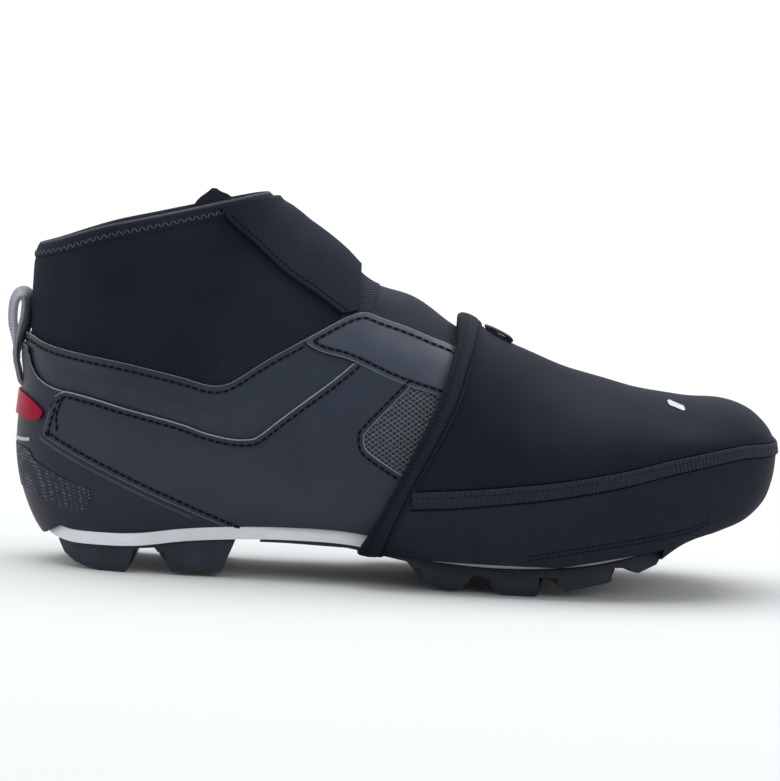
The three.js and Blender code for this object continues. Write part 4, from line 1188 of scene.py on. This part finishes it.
def finish(name):
    """Each finish is made once, when a piece first asks for it."""
    makers = {
        "leather": lambda: smooth_leather("leather_smooth", tint("leather")),
        "panel": lambda: smooth_leather("leather_panel", tint("panel"), 0.4),
        # The straps: the panel leather painted 1.5 times lighter, a painted highlight for their sheen
        "strap": lambda: smooth_leather("leather_strap", shade(tint("panel"), 1.5), 0.36, level=0.5),
        "counter": lambda: smooth_leather("leather_counter", tint("counter"), 0.5),
        # Cut and folded edges: partly their own light grey, partly a painted highlight along the edge
        "edge": lambda: smooth_leather("leather_edge", tint("edge"), 0.42, 0.03),
        "cuff": lambda: ribbed_knit("knit_cuff", tint("cuff"), math.radians(21), bright=1.75),
        "flap": lambda: ribbed_knit("knit_flap", tint("flap"), math.radians(8), 1.0, 0.1, 1.3),
        "hem": lambda: ribbed_knit("knit_hem", shade(tint("flap"), 0.85), math.radians(-14), 0.9, 0.1),
        "rim": lambda: ribbed_knit("knit_rim", (0.05, 0.053, 0.06), math.radians(60), 0.8, 0.1),
        "tab": lambda: plush_knit("knit_tab", (0.026, 0.031, 0.044)),
        "overshoe": lambda: laminated_neoprene("neoprene_overshoe", tint("overshoe")),
        "rand": lambda: laminated_neoprene("neoprene_rand", tint("rand")),
        "tape": lambda: ridged_tape("tape_ridged", tint("tape"), 280),
        "binding": lambda: woven_binding("binding_woven", tint("binding"), 230),
        "pull": lambda: plain_webbing("pull_webbing", tint("binding"), 26),
        "mesh": lambda: open_mesh("mesh_open", tint("mesh")),
        "heel_mesh": lambda: printed_mesh("mesh_printed", (0.12, 0.13, 0.145), shade(tint("counter"), 1.5)),
        "plate": lambda: nylon("nylon_plate", tint("plate")),
        "rubber": lambda: moulded_rubber("rubber_outsole", tint("rubber")),
        "webbing": lambda: plain_webbing("webbing_loop", tint("webbing"), 95),
        "tongue": lambda: laminated_neoprene("softshell_tongue", tint("tongue")),
        "label": lambda: glossy_label("label_plastic", tint("label")),
        "thread": lambda: twisted_thread("thread_dark", tint("thread")),
        # Dark strips under the stitch rows: painted shade for the grooves the stitches pull in
        "channel": lambda: smooth_leather("leather_channel", shade(tint("panel"), 0.68), 0.6),
        # The heel welt: the panel leather painted 1.8 times lighter, a painted highlight along the raised
        # welt
        "piping": lambda: smooth_leather("leather_piping", shade(tint("panel"), 1.8), 0.4),
        "hem_thread": lambda: twisted_thread("thread_hem", (0.075, 0.08, 0.09)),
        "reflective": lambda: reflective_film("film_reflective", tint("reflective")),
        "foam": lambda: soft_foam("foam_footbed", (0.02, 0.022, 0.026)),
    }
    if name not in FINISHES:
        FINISHES[name] = makers[name]()
    return FINISHES[name]


# Lines of the sole and the edges shared by several pieces

UNDERSIDE = drawn(sole_line(PLATE_UNDERSIDE), 5)
PLATE_TOP = shifted(UNDERSIDE, 0, PLATE_THICKNESS)
FEATHER = np.vstack([
    (-BEYOND, PLATE_TOP[0][1] + GAP),
    shifted(PLATE_TOP, 0, GAP),
    (LENGTH + BEYOND, PLATE_TOP[-1][1] + GAP),
])
TOP_EDGE = drawn(side_line(TOPLINE), 6)
COLLAR_EDGE = drawn(side_line(COLLAR_LINE), 6)
BIND_BACK = drawn(side_line(BINDING_BACK[:-1]), 6)
BIND_FRONT = drawn(side_line(BINDING_FRONT[:-1]), 6)
SEAM = drawn(side_line(SEAM_LINE), 6)


def outline(inset, pinch=0.0):
    """The sole in plan. pinch narrows it where the overshoe covers it."""
    rows = drawn(np.array(SOLE_OUTLINE) * (LENGTH, SOLE_WIDTH, SOLE_WIDTH), 5)
    rows[:, 1:] *= 1 - pinch * np.clip((rows[:, :1] - HIDDEN_FROM) / HIDDEN_OVER, 0, 1)
    outer = np.stack([rows[:, 0], -rows[:, 1]], 1)
    inner = np.stack([rows[:, 0], rows[:, 2]], 1)
    return grown(np.vstack([outer, inner[1:-1][::-1]]), -inset)


def slab(name, grow=0.0):
    """The sole plate, or more than the plate by a margin."""
    piece = across(np.vstack([shifted(PLATE_TOP, 0, grow), shifted(UNDERSIDE, 0, -grow)[::-1]]))
    piece.name = name
    return kept(piece, upward(outline(-grow, HIDDEN_SHARE)))


def plate_top_at(x):
    return float(np.interp(x, PLATE_TOP[:, 0], PLATE_TOP[:, 1]))


def collar_at(x):
    return np.interp(x, COLLAR_EDGE[:, 0], COLLAR_EDGE[:, 1])


def over_collar(points):
    return points[:, 2] - collar_at(points[:, 0])


def above_sole():
    return across(above(FEATHER))


def above_sole_and_behind():
    """All that is over the plate, and at the heel what reaches down round its end."""
    foot = [(-BEYOND, COUNTER_FOOT), (COUNTER_FOOT_END, COUNTER_FOOT)]
    return across(above(np.vstack([foot, within(FEATHER, COUNTER_FOOT_RISE)])))


def tread_piece(name, shares, web, channels):
    """One outsole: cut from its side view and plan, with channels down to a web and notched lugs."""
    low = sole_line(shares)
    back, front = low[0][0], low[-1][0]
    ceiling = within(shifted(UNDERSIDE, 0, -GAP), back, front)
    ends = [(x, plate_top_at(x) - PLATE_THICKNESS - GAP) for x in (back, front)]
    piece = across(np.vstack([low, ends[1], ceiling[::-1], ends[0]]))
    piece.name = name
    kept(piece, upward(outline(TREAD_INSET)))
    for start, end, width in channels:
        line = within(shifted(UNDERSIDE, 0, -GAP - web), start * LENGTH - 2, end * LENGTH + 2)
        line[0][0], line[-1][0] = start * LENGTH, end * LENGTH
        without(piece, across(below(line), -width / 2, width / 2))
    rows = np.array(SOLE_OUTLINE)
    for share in LUG_STARTS:
        x = share * LENGTH
        if not back < x < front:
            continue
        top = plate_top_at(x) - PLATE_THICKNESS - GAP - 3.2
        for side, column in ((-1, 1), (1, 2)):
            edge = side * SOLE_WIDTH * float(np.interp(share, rows[:, 0], rows[:, column]))
            notch = [(x - 5.5, edge + side * 2), (x + 5.5, edge + side * 2), (x - 5.5, edge - side * 9)]
            without(piece, upward(notch, -BEYOND, top))
    return largest(piece)


def quarter_outline():
    top, low = drawn(side_line(QUARTER_TOP), 6), side_line(STRAP_LOW)
    ahead = within(drawn(low, 6), top[-1][0])
    back = drawn(side_line(QUARTER_BACK), 5)
    foot = [(ahead[-1][0], 0), (QUARTER_BACK[0][0] * LENGTH, 0)]
    return np.vstack([back, top, shifted(ahead, 0, -GAP), foot])


def mesh_window(grow=0.0):
    line = side_line(MESH_WINDOW)
    corner = drawn(line[1:8], 5)
    return grown(np.vstack([line[:1], corner, line[8:]]), grow)


def under_cover():
    return across(in_front(shifted(BIND_FRONT, 7, 0)))


SIDES = {"outer": -1, "inner": 1}


def half(outline_points, side):
    """A side-view cutter through one half of the shoe."""
    return across(outline_points, *((-BEYOND, 0) if side < 0 else (0, BEYOND)))


def clear_of_sole(piece):
    tools = [slab("keep_clear", GAP)]
    for shares in (HEEL_TREAD, FOREFOOT_TREAD):
        low = sole_line(shares)
        ceiling = [(x, plate_top_at(x)) for x in (low[-1][0], low[0][0])]
        tools.append(kept(across(grown(np.vstack([low, ceiling]), GAP)), upward(outline(TREAD_INSET - GAP))))
    return largest(without(piece, *tools))


# Operators, one for each piece or group of like pieces


class OVERSHOE_OT_studio(bpy.types.Operator):
    """Floor, light and camera"""

    bl_idname = "overshoe.studio"
    bl_label = "Studio"

    def execute(self, context):
        studio = context.scene.overshoe_studio
        context.scene.view_settings.view_transform = "Standard"
        context.scene.world = studio_world("studio_light", studio.front, studio.backdrop)
        bpy.ops.object.select_all(action="DESELECT")
        bpy.ops.mesh.primitive_circle_add(vertices=96, radius=9.0, fill_type="TRIFAN")
        floor = context.object
        floor.name = "studio_floor"
        paper = studio_floor("studio_paper", tint("floor"), 0.9 * studio.backdrop, studio.backdrop)
        floor.data.materials.append(paper)
        for name, place, aim, width, depth, power in (
            ("light_overhead", (-0.05, 0.25, 1.4), (0.0, 0.0, 0.05), 2.0, 1.4, studio.key),
            ("light_toe", (0.8, -1.0, 0.75), (0.05, 0.0, 0.06), 0.8, 0.6, studio.side),
            ("light_heel", (-1.0, -0.8, 0.8), (-0.05, 0.0, 0.07), 0.9, 0.9, studio.side * 0.7),
        ):
            bpy.ops.object.light_add(type="AREA", location=place)
            lamp = context.object
            lamp.name = name
            lamp.data.shape, lamp.data.energy = "RECTANGLE", power
            lamp.data.size, lamp.data.size_y = width, depth
            lamp.rotation_euler = (Vector(aim) - Vector(place)).to_track_quat("-Z", "Y").to_euler()
        aim = Vector(metres(CAMERA_AIM))
        rise, turn = studio.elevation, studio.roll
        sight = Vector((0, math.cos(rise), -math.sin(rise)))
        flat, tall = Vector((1, 0, 0)), Vector((0, math.sin(rise), math.cos(rise)))
        right = math.cos(turn) * flat + math.sin(turn) * tall
        top = math.cos(turn) * tall - math.sin(turn) * flat
        bpy.ops.object.camera_add()
        camera = context.object
        camera.name = "camera"
        placed = Matrix((right, top, -sight)).transposed().to_4x4()
        placed.translation = aim - sight * studio.distance
        camera.matrix_world = placed
        camera.data.lens, camera.data.sensor_width = studio.lens, 36
        camera.data.clip_start, camera.data.clip_end = 0.05, 30
        context.scene.camera = camera
        return {"FINISHED"}


class OVERSHOE_OT_sole(bpy.types.Operator):
    """Sole plate, outsoles and footbed"""

    bl_idname = "overshoe.sole"
    bl_label = "Sole"

    def execute(self, context):
        plate = softened(slab("sole_plate_moulded"), 0.9, 3)
        dressed(plate, finish("plate"), ["sole_plate"])
        for name, node, shares, web, channels in (
            ("outsole_heel", "heel_outsole", HEEL_TREAD, 1.2, [HEEL_CHANNEL]),
            ("outsole_forefoot", "forefoot_outsole", FOREFOOT_TREAD, 3.2, [CLEAT_CHANNEL, TOE_CHANNEL]),
        ):
            tread = softened(tread_piece(name, shares, web, channels), 0.55, 2, 28)
            dressed(tread, finish("rubber"), [node], angle=30)
        bed = netted("footbed", SHOE.at(FACE), ring=True)
        kept(bed, above_sole(), across(below(shifted(FEATHER, 0, 4.0))))
        dressed(largest(bed), finish("foam"), ["insole"])
        return {"FINISHED"}


class OVERSHOE_OT_upper(bpy.types.Operator):
    """Leather upper with its folded top edge"""

    bl_idname = "overshoe.upper"
    bl_label = "Leather upper"

    def execute(self, context):
        piece = ply("leather_upper", SHOE, -thickness("leather"), 0)
        opening = np.vstack([TOP_EDGE, (TOP_EDGE[-1][0], 2 * BEYOND), (TOP_EDGE[0][0], 2 * BEYOND)])
        piece = largest(without(kept(piece, above_sole()), across(opening)))
        dressed(piece, [finish("leather"), finish("edge")], ["upper"], (SHOE, 0))
        # The folded top edge: a bead in the light edge colour, partly its own and partly a painted highlight
        # along the fold
        edge = SHOE.laid_round(-0.55, shifted(TOP_EDGE[:-14], 0, -0.35), 186.0, *HEEL_TURN)
        dressed(bead("upper_folded_edge", edge, thickness("edge_bead") * 1.35), finish("edge"))
        return {"FINISHED"}


class OVERSHOE_OT_panels(bpy.types.Operator):
    """Side panels, straps, mesh windows and heel counter"""

    bl_idname = "overshoe.panels"
    bl_label = "Panels"

    def execute(self, context):
        lift, panel, strap = GAP, thickness("panel"), thickness("strap")
        bead_size = thickness("edge_bead")
        strap_low = drawn(side_line(STRAP_LOW), 6)
        for word, side in SIDES.items():
            quarter = ply(f"quarter_panel_{word}", SHOE, lift, lift + panel)
            kept(quarter, above_sole(), half(quarter_outline(), side))
            quarter = largest(without(quarter, across(mesh_window(0.3)), under_cover()))
            panelled(quarter, "panel", f"quarter_{word}", lift + panel)
            ridge = within(TOP_EDGE, strap_low[0][0], strap_low[-1][0] + 5)
            stay = ply(f"throat_strap_{word}", SHOE, lift, lift + strap)
            kept(stay, half(np.vstack([strap_low, ridge[::-1]]), side))
            stay = largest(without(stay, under_cover()))
            # The straps take the lighter copy of the panel leather: a painted highlight
            panelled(stay, "strap", f"eyestay_{word}", lift + strap)
            window = ply(f"mesh_window_{word}", SHOE, lift, lift + panel / 2)
            kept(window, half(mesh_window(), side), across(below(shifted(strap_low, 0, -GAP))))
            window = largest(without(window, under_cover()))
            dressed(window, finish("mesh"), [f"mesh_insert_{word}"])
            # Beads along the panel edges in the light edge colour: partly the edges' own colour, partly a
            # painted highlight
            edges = [
                (lift + panel - 0.25, drawn(side_line(QUARTER_TOP), 6), 1.0),
                (lift + panel - 0.3, drawn(side_line(QUARTER_BACK), 5), 0.8),
                (lift + strap - 0.25, within(strap_low, 112, 186), 0.85),
                (lift + panel - 0.45, mesh_window(0.2)[1:-1], 0.8),
                (lift + panel - 0.3, drawn(side_line(COUNTER_TOP[1:]), 6), 0.9),
            ]
            beads = [
                bead("edge", SHOE.laid(distance, line, side), bead_size * size)
                for distance, line, size in edges
            ]
            dressed(joined(f"panel_folded_edges_{word}", beads), finish("edge"))
            # A raised welt below the quarter's back edge, lighter than the panel: a painted highlight along
            # it
            welt = inset_line(drawn(side_line(QUARTER_BACK), 5), 2.2, 1)
            welt = np.array([p for p in welt if plate_top_at(p[0]) + 2 < p[1] < 50])
            welt = bead(f"heel_welt_{word}", SHOE.laid(lift + panel, welt, side), 1.0, 0.5)
            dressed(welt, finish("piping"))
        corner = QUARTER_BACK[0][0] * LENGTH - GAP
        front = side_line(QUARTER_BACK)[-1][1]
        low = [(-BEYOND, 0), (corner, 0), (corner, front)]
        region = np.vstack([low, drawn(side_line(COUNTER_TOP), 5)[::-1]])
        counter = ply("heel_counter_panel", SHOE, lift, lift + panel)
        kept(counter, above_sole_and_behind(), across(region))
        counter = largest(without(counter, across(grown(quarter_outline(), 0.25))))
        panelled(counter, "counter", "heel_counter", lift + panel)
        return {"FINISHED"}


class OVERSHOE_OT_heel_trim(bpy.types.Operator):
    """Heel label, pull loop, printed mesh and reflective dash"""

    bl_idname = "overshoe.heel_trim"
    bl_label = "Heel trim"

    def execute(self, context):
        label = ply("heel_label_pad", SHOE, 1.7, 2.5)
        label = largest(kept(label, across(drawn(side_line(LABEL_OUTLINE), 5))))
        dressed(softened(label, 0.3), finish("label"), ["heel_label"])
        patch = ply("heel_printed_mesh", SHOE, 1.45, 1.72)
        patch = largest(kept(patch, across(drawn(side_line(HEEL_MESH), 4))))
        dressed(patch, finish("heel_mesh"))
        dash = np.array([(-20.0, 46.9), (4.0, 47.9), (60.0, 58.0)])
        dash = SHOE.laid_round(1.5, dash, 7.0, (7.0, 0.0), 70)
        dash = swept("heel_reflective_dash", *dash, pillow_profile(1.3, 0.3, 0.15, -0.1))
        dressed(dash, finish("reflective"))
        face = SHOE.at(GAP + thickness("panel"))[:, SHOE.points.shape[1] // 2]
        rows = drawn(np.array(HEEL_LOOP) * (COLLAR_HEIGHT, 1), 6)
        order = np.argsort(face[:, 2])
        x = np.interp(rows[:, 0], face[order, 2], face[order, 0]) - rows[:, 1]
        path = np.stack([x, np.zeros(len(x)), rows[:, 0]], 1)
        turned = np.clip((path[:, 2] / COLLAR_HEIGHT - 0.53) / 0.09, 0, 1)[:, None] * math.radians(19)
        normals = standing(path) * np.cos(turned) - ACROSS * np.sin(turned)
        loop = swept("heel_pull_loop", path, normals, ribbon_profile(10.6, 0.8, 0.4))
        dressed(loop, finish("webbing"), ["heel_loop"])
        return {"FINISHED"}


class OVERSHOE_OT_cuff(bpy.types.Operator):
    """Ankle cuff, its flap, the point inside the collar and the folded hems"""

    bl_idname = "overshoe.cuff"
    bl_label = "Ankle cuff"

    def execute(self, context):
        wall, over, hem = thickness("cuff"), thickness("flap"), thickness("hem")
        foot = within(TOP_EDGE, high=(CUFF_FRONT[0][0] - 0.01) * LENGTH)
        foot = shifted(foot, 0, -0.075 * COLLAR_HEIGHT)
        top = shifted(COLLAR_EDGE, 0, -0.8)
        region = np.vstack([foot, drawn(side_line(CUFF_FRONT), 4), top[::-1]])
        cuff = largest(kept(ply("ankle_cuff_knit", SHOE, FACE - wall, FACE), across(region)))
        dressed(cuff, finish("cuff"), ["ankle_cuff"])
        flaps = []
        front = np.vstack([drawn(side_line(FLAP_FOOT), 4), side_line([(0.47, 1.03)])])
        for edge, side in FLAP_EDGES:
            flap = ply("flap_half", SHOE, FACE + GAP, FACE + GAP + over)
            kept(flap, half(np.vstack([drawn(side_line(edge), 5), front]), side), across(below(top)))
            flaps.append(largest(without(flap, across(below(shifted(TOP_EDGE, 0, GAP))))))
        flap = in_edit(joined("cuff_flap_knit", flaps), lambda: bpy.ops.mesh.remove_doubles(threshold=2e-5))
        dressed(flap, finish("flap"), ["cuff_flap"])
        rolls = []
        for edge, side in FLAP_EDGES:
            line = inset_line(drawn(side_line(edge), 6), 0.5, 1)
            line = np.array([p for p in line if p[1] < collar_at(p[0]) - 2.5])
            rolls.append(bead("roll", SHOE.laid(FACE + GAP + over / 2 + 0.15, line, side), over, 0.95))
        dressed(joined("cuff_flap_rolled_edge", rolls), finish("flap"))
        tab = ply("cuff_point", SHOE, FACE - wall - GAP - 1.6, FACE - wall - GAP)
        tab = largest(kept(tab, half(drawn(side_line(TAB_OUTLINE), 6), 1)))
        dressed(tab, finish("tab"), ["cuff_tab"])
        rim, facing, _ = SHOE.walked(FACE - wall / 2, over_collar, [-hem, -1.0])
        base, normals = rim[:, 1], facing[:, 1]
        rise = unit(base - rim[:, 0])
        grid = np.stack([base + rise * (u + 0.2) + normals * n for u, n in self.folded(wall / 2, hem)], 1)
        dressed(netted("collar_hem", grid, ring=True, hoop=True), finish("hem"))
        ridge = base + rise * 1.35 + normals * (wall / 2 + 0.25) * 0.55
        ridge = swept("collar_rim", ridge, normals, round_profile(0.75, 8, 0.9), hoop=True)
        dressed(ridge, finish("rim"))
        return {"FINISHED"}

    @staticmethod
    def folded(deep, hem):
        """The hem's section, folded over the collar: how far up, and how far out from the wall's middle."""
        bend = [math.radians(a) for a in np.linspace(90, -90, 9)]
        return [
            (-hem, deep - 0.3), (-hem, deep + 0.3), (-hem + 0.5, deep + 0.6), (-hem / 2, deep + 0.65),
            *((math.cos(a) * (deep + 0.45), math.sin(a) * (deep + 0.45)) for a in bend),
            (-hem / 2, -deep - 0.55), (-hem + 0.5, -deep - 0.5), (-hem, -deep - 0.2), (-hem, -deep + 0.3),
        ]


class OVERSHOE_OT_tongue(bpy.types.Operator):
    """Softshell tongue in the throat"""

    bl_idname = "overshoe.tongue"
    bl_label = "Tongue"

    def execute(self, context):
        back = drawn(side_line(CUFF_FRONT), 4)
        region = np.vstack([
            shifted(back, GAP, 0),
            (TONGUE_END * LENGTH, back[-1][1]),
            (TONGUE_END * LENGTH, back[0][1] - 0.15 * COLLAR_HEIGHT),
            (back[0][0] + 0.03 * LENGTH, back[0][1] - 0.12 * COLLAR_HEIGHT),
        ])
        tongue = ply("tongue_softshell", SHOE, FACE - thickness("tongue"), FACE)
        tongue = largest(kept(tongue, across(region)))
        dressed(tongue, finish("tongue"), ["tongue"])
        strip = np.vstack([shifted(back, -2.5, 0), shifted(back, 7.5, 0)[::-1]])
        band = ply("tongue_knit_edge", SHOE, FACE - 0.2, FACE + 0.4)
        kept(band, across(strip), across(above(shifted(TOP_EDGE, 0, -1.0))))
        dressed(largest(band), finish("tab"))
        return {"FINISHED"}


class OVERSHOE_OT_overshoe(bpy.types.Operator):
    """Overshoe: top, rand, seam tape, edge binding, pull tab and toe bar"""

    bl_idname = "overshoe.overshoe"
    bl_label = "Overshoe"

    def execute(self, context):
        wall, lip, tape = thickness("overshoe"), thickness("binding_lip"), thickness("tape_width")
        under_binding = in_front(shifted(BIND_FRONT, -2.0, 0))
        top = ply("overshoe_top_neoprene", COVER, 0, wall)
        kept(top, across(under_binding), across(above(shifted(SEAM, 0, 0.15))))
        dressed(largest(top), finish("overshoe"), ["overshoe_top"])
        low = np.vstack([drawn(side_line(HEM_LINE), 5), side_line([(0.868, -0.1), (1.1, -0.1)])])
        rand = ply("overshoe_rand_neoprene", COVER, 0, wall)
        kept(rand, across(under_binding), across(below(shifted(SEAM, 0, -0.15))), across(above(low)))
        rand = clear_of_sole(largest(rand))
        dressed(rand, finish("rand"), ["overshoe_rand"])
        laid = COVER.laid_round(wall + 0.05, SEAM, 155.2, *TOE_TURN, toe=True)
        taper = np.interp(laid[0][:, 0], [170, 292], [1.0, 0.72])
        strip = swept("overshoe_tape", *laid, pillow_profile(tape, 0.8, 0.45, -0.1), widths=taper)
        dressed(strip, finish("tape"), ["overshoe_seam_tape"])
        self.binding(wall, lip)
        crest = COVER.at(wall)[:, 0]
        rows = drawn(np.array(PULL_TAB) * (LENGTH, 1), 5)
        order = np.argsort(crest[:, 0])
        z = np.interp(rows[:, 0], crest[order, 0], crest[order, 2]) + rows[:, 1]
        path = np.stack([rows[:, 0], np.zeros(len(z)), z], 1)
        pull = swept("overshoe_pull_tab", path, standing(path), ribbon_profile(9.0, 0.45, 0.25))
        dressed(pull, finish("pull"), ["overshoe_pull"])
        bar = ply("overshoe_reflective_bar", COVER, wall + 0.02, wall + 0.2)
        dressed(largest(kept(bar, half(TOE_BAR, -1))), finish("reflective"))
        return {"FINISHED"}

    @staticmethod
    def binding(wall, lip):
        """Elastic tape round the opening, thinned to a strap under the arch."""

        def crossing(edge):
            return lambda points: np.interp(points[:, 2], edge[::-1, 1], edge[::-1, 0]) - points[:, 0]

        _, _, back = COVER.walked(0.0, crossing(BIND_BACK), [0.0])
        _, _, ahead = COVER.walked(0.0, crossing(BIND_FRONT), [0.0])
        points = COVER.at(0.0)
        columns, seam, facing = [], [], []
        under = sole_line(FOREFOOT_TREAD)
        for j in range(points.shape[1]):
            line = points[:, j]
            reach = reached(line)
            at = np.interp(np.linspace(ahead[j], back[j], 13), reach, np.arange(len(reach)))
            skin, normal = taken(line, at), unit(taken(COVER.normals[:, j], at))
            share = np.linspace(-1, 1, 13)
            height = (wall + lip) - np.where(share > 0, 1.0, 0.35) * np.abs(share) ** 6
            height = height - 0.4 * np.exp(-(((share + 0.62) / 0.12) ** 2))
            height -= 1.3 * np.clip(normal[:, 2], 0, 1) ** 2 * np.clip(share + 0.4, 0, 2)
            outer, inner = skin + normal * height[:, None], skin + normal * 0.1
            sole = np.interp(outer[:, 0], under[:, 0], under[:, 1])
            outer[:, 2] = np.maximum(outer[:, 2], sole - GAP - 1.3)
            beneath = (inner[:, 2] < sole + 4) & (np.abs(inner[:, 1]) < 40)
            inner[beneath, 2] = np.minimum(inner[beneath, 2], sole[beneath] - GAP + 0.05)
            columns.append(np.vstack([outer, inner[::-1]]))
            seam.append(outer[2])
            facing.append(normal[2])
        piece = netted("overshoe_edge_binding", np.array(columns), ring=True, hoop=True)
        dressed(piece, finish("binding"), ["overshoe_binding"], angle=60)
        round_top = np.arange(-58, 59) % len(seam)
        seam, facing = np.array(seam)[round_top], np.array(facing)[round_top]
        high = seam[:, 2] > 11
        row = sewn("stitching_binding", (seam[high], facing[high]), 2.0, 1.7, 0.6, lift=0.05)
        dressed(row, finish("thread"))


class OVERSHOE_OT_stitching(bpy.types.Operator):
    """Rows of stitches on the panels, the hems and the overshoe"""

    bl_idname = "overshoe.stitching"
    bl_label = "Stitching"

    def execute(self, context):
        pitch, length, thread = (thickness(n) for n in ("stitch_pitch", "stitch_length", "thread"))
        panel, strap = GAP + thickness("panel") + 0.04, GAP + thickness("strap") + 0.04
        quarter_top = drawn(side_line(QUARTER_TOP), 6)
        quarter_back = drawn(side_line(QUARTER_BACK), 5)
        strap_low = drawn(side_line(STRAP_LOW), 6)
        flap_edges = {side: edge for edge, side in FLAP_EDGES}
        # Thin dark strips under the stitch rows: painted shade standing in for stitch grooves
        channel = pillow_profile(1.5, 0.05, 0.02, -0.1)
        laid = SHOE.laid_round(0.06, shifted(within(TOP_EDGE, high=112), 0, -2.3), 110.0, *HEEL_TURN)
        dressed(sewn("stitching_topline", laid, pitch, length, thread), finish("thread"))
        channels = [swept("channel", *laid, channel)]

        def shown(x, z):
            return x <= np.interp(z, BIND_BACK[::-1, 1], BIND_BACK[::-1, 0]) + 1.0

        for word, side in SIDES.items():
            ridge = within(TOP_EDGE, 113, 186)
            lines = [
                (panel, inset_line(quarter_top, 1.9, -1)),
                (panel, inset_line(quarter_back, 1.7, -1)),
                (panel, drawn(side_line([(0.068, 0.447), (0.0635, 0.425), (0.061, 0.4), (0.062, 0.372)]), 4)),
                (strap, inset_line(ridge, 1.8, -1)),
                (strap, inset_line(strap_low[4:], 1.8, 1)),
                (panel, mesh_window(2.0)[1:-1]),
            ]
            made = []
            for distance, line in lines:
                laid = SHOE.laid(distance, np.array([p for p in line if shown(*p)]), side)
                made.append(sewn("row", laid, pitch, length, thread))
                channels.append(swept("channel", *laid, channel))
            line = inset_line(drawn(side_line(flap_edges[side]), 5), 1.5, 1)
            line = np.array([p for p in line if p[1] < collar_at(p[0]) - 5])
            laid = SHOE.laid(FACE + GAP + thickness("flap") + 0.05, line, side)
            made.append(sewn("row", laid, 2.1, 1.6, 0.5))
            dressed(joined(f"stitching_panels_{word}", made), finish("thread"))

        # All the dark strips under the stitches: painted shade
        dressed(joined("stitching_channels", channels), finish("channel"))
        rim, facing, _ = SHOE.walked(FACE + 0.75, over_collar, [-thickness("hem") + 1.2])
        loop = np.vstack([rim[:, 0], rim[:1, 0]]), np.vstack([facing[:, 0], facing[:1, 0]])
        dressed(sewn("stitching_collar", loop, 1.5, 1.9, 0.4, zigzag=0.95), finish("hem_thread"))
        cover = thickness("overshoe") + 0.05
        made = []
        beside = np.interp(SEAM[:, 0], [170, 292], [3.75, 2.75])
        for share, start in ((1.0, 158.0), (-0.97, 155.0)):
            line = SEAM + np.stack([np.zeros(len(SEAM)), share * beside], 1)
            laid = COVER.laid_round(cover, line, start, *TOE_TURN, toe=True)
            made.append(sewn("row", laid, 1.7, 1.45, 0.62))
        hem_line = drawn(side_line(HEM_LINE[2:] + [(0.9, 0.155), (0.925, 0.185)]), 5)
        for side in (-1, 1):
            for rise in (4.8, 6.5):
                laid = COVER.laid(cover, within(shifted(hem_line, 0, rise), *HEM_STITCHED), side)
                made.append(sewn("row", laid, 2.2, 1.6, 0.45))
        dressed(joined("stitching_overshoe", made), finish("thread"))
        return {"FINISHED"}


class OVERSHOE_PT_panel(bpy.types.Panel):
    """Sizes, colours and pieces of the overshoe and its shoe"""

    bl_label = "Overshoe"
    bl_space_type = "VIEW_3D"
    bl_region_type = "UI"
    bl_category = "Overshoe"

    def draw(self, context):
        for group in GROUPS:
            box = self.layout.box()
            box.label(text=group.removeprefix("overshoe_").title())
            settings = getattr(context.scene, group)
            for key in type(settings).__annotations__:
                box.prop(settings, key)
        for operator in OPERATORS:
            self.layout.operator(operator.bl_idname)


GROUPS = {
    "overshoe_plies": OVERSHOE_PG_plies,
    "overshoe_colours": OVERSHOE_PG_colours,
    "overshoe_studio": OVERSHOE_PG_studio,
}
OPERATORS = (
    OVERSHOE_OT_studio,
    OVERSHOE_OT_sole,
    OVERSHOE_OT_upper,
    OVERSHOE_OT_panels,
    OVERSHOE_OT_heel_trim,
    OVERSHOE_OT_cuff,
    OVERSHOE_OT_tongue,
    OVERSHOE_OT_overshoe,
    OVERSHOE_OT_stitching,
)
CLASSES = (*GROUPS.values(), *OPERATORS, OVERSHOE_PT_panel)


def register():
    for kind in CLASSES:
        bpy.utils.register_class(kind)
    for name, group in GROUPS.items():
        setattr(bpy.types.Scene, name, bpy.props.PointerProperty(type=group))


def unregister():
    for name in GROUPS:
        delattr(bpy.types.Scene, name)
    for kind in reversed(CLASSES):
        bpy.utils.unregister_class(kind)


def main():
    register()
    for operator in OPERATORS:
        family, name = operator.bl_idname.split(".")
        getattr(getattr(bpy.ops, family), name)()
    bpy.ops.object.select_all(action="DESELECT")


if __name__ == "__main__":
    main()
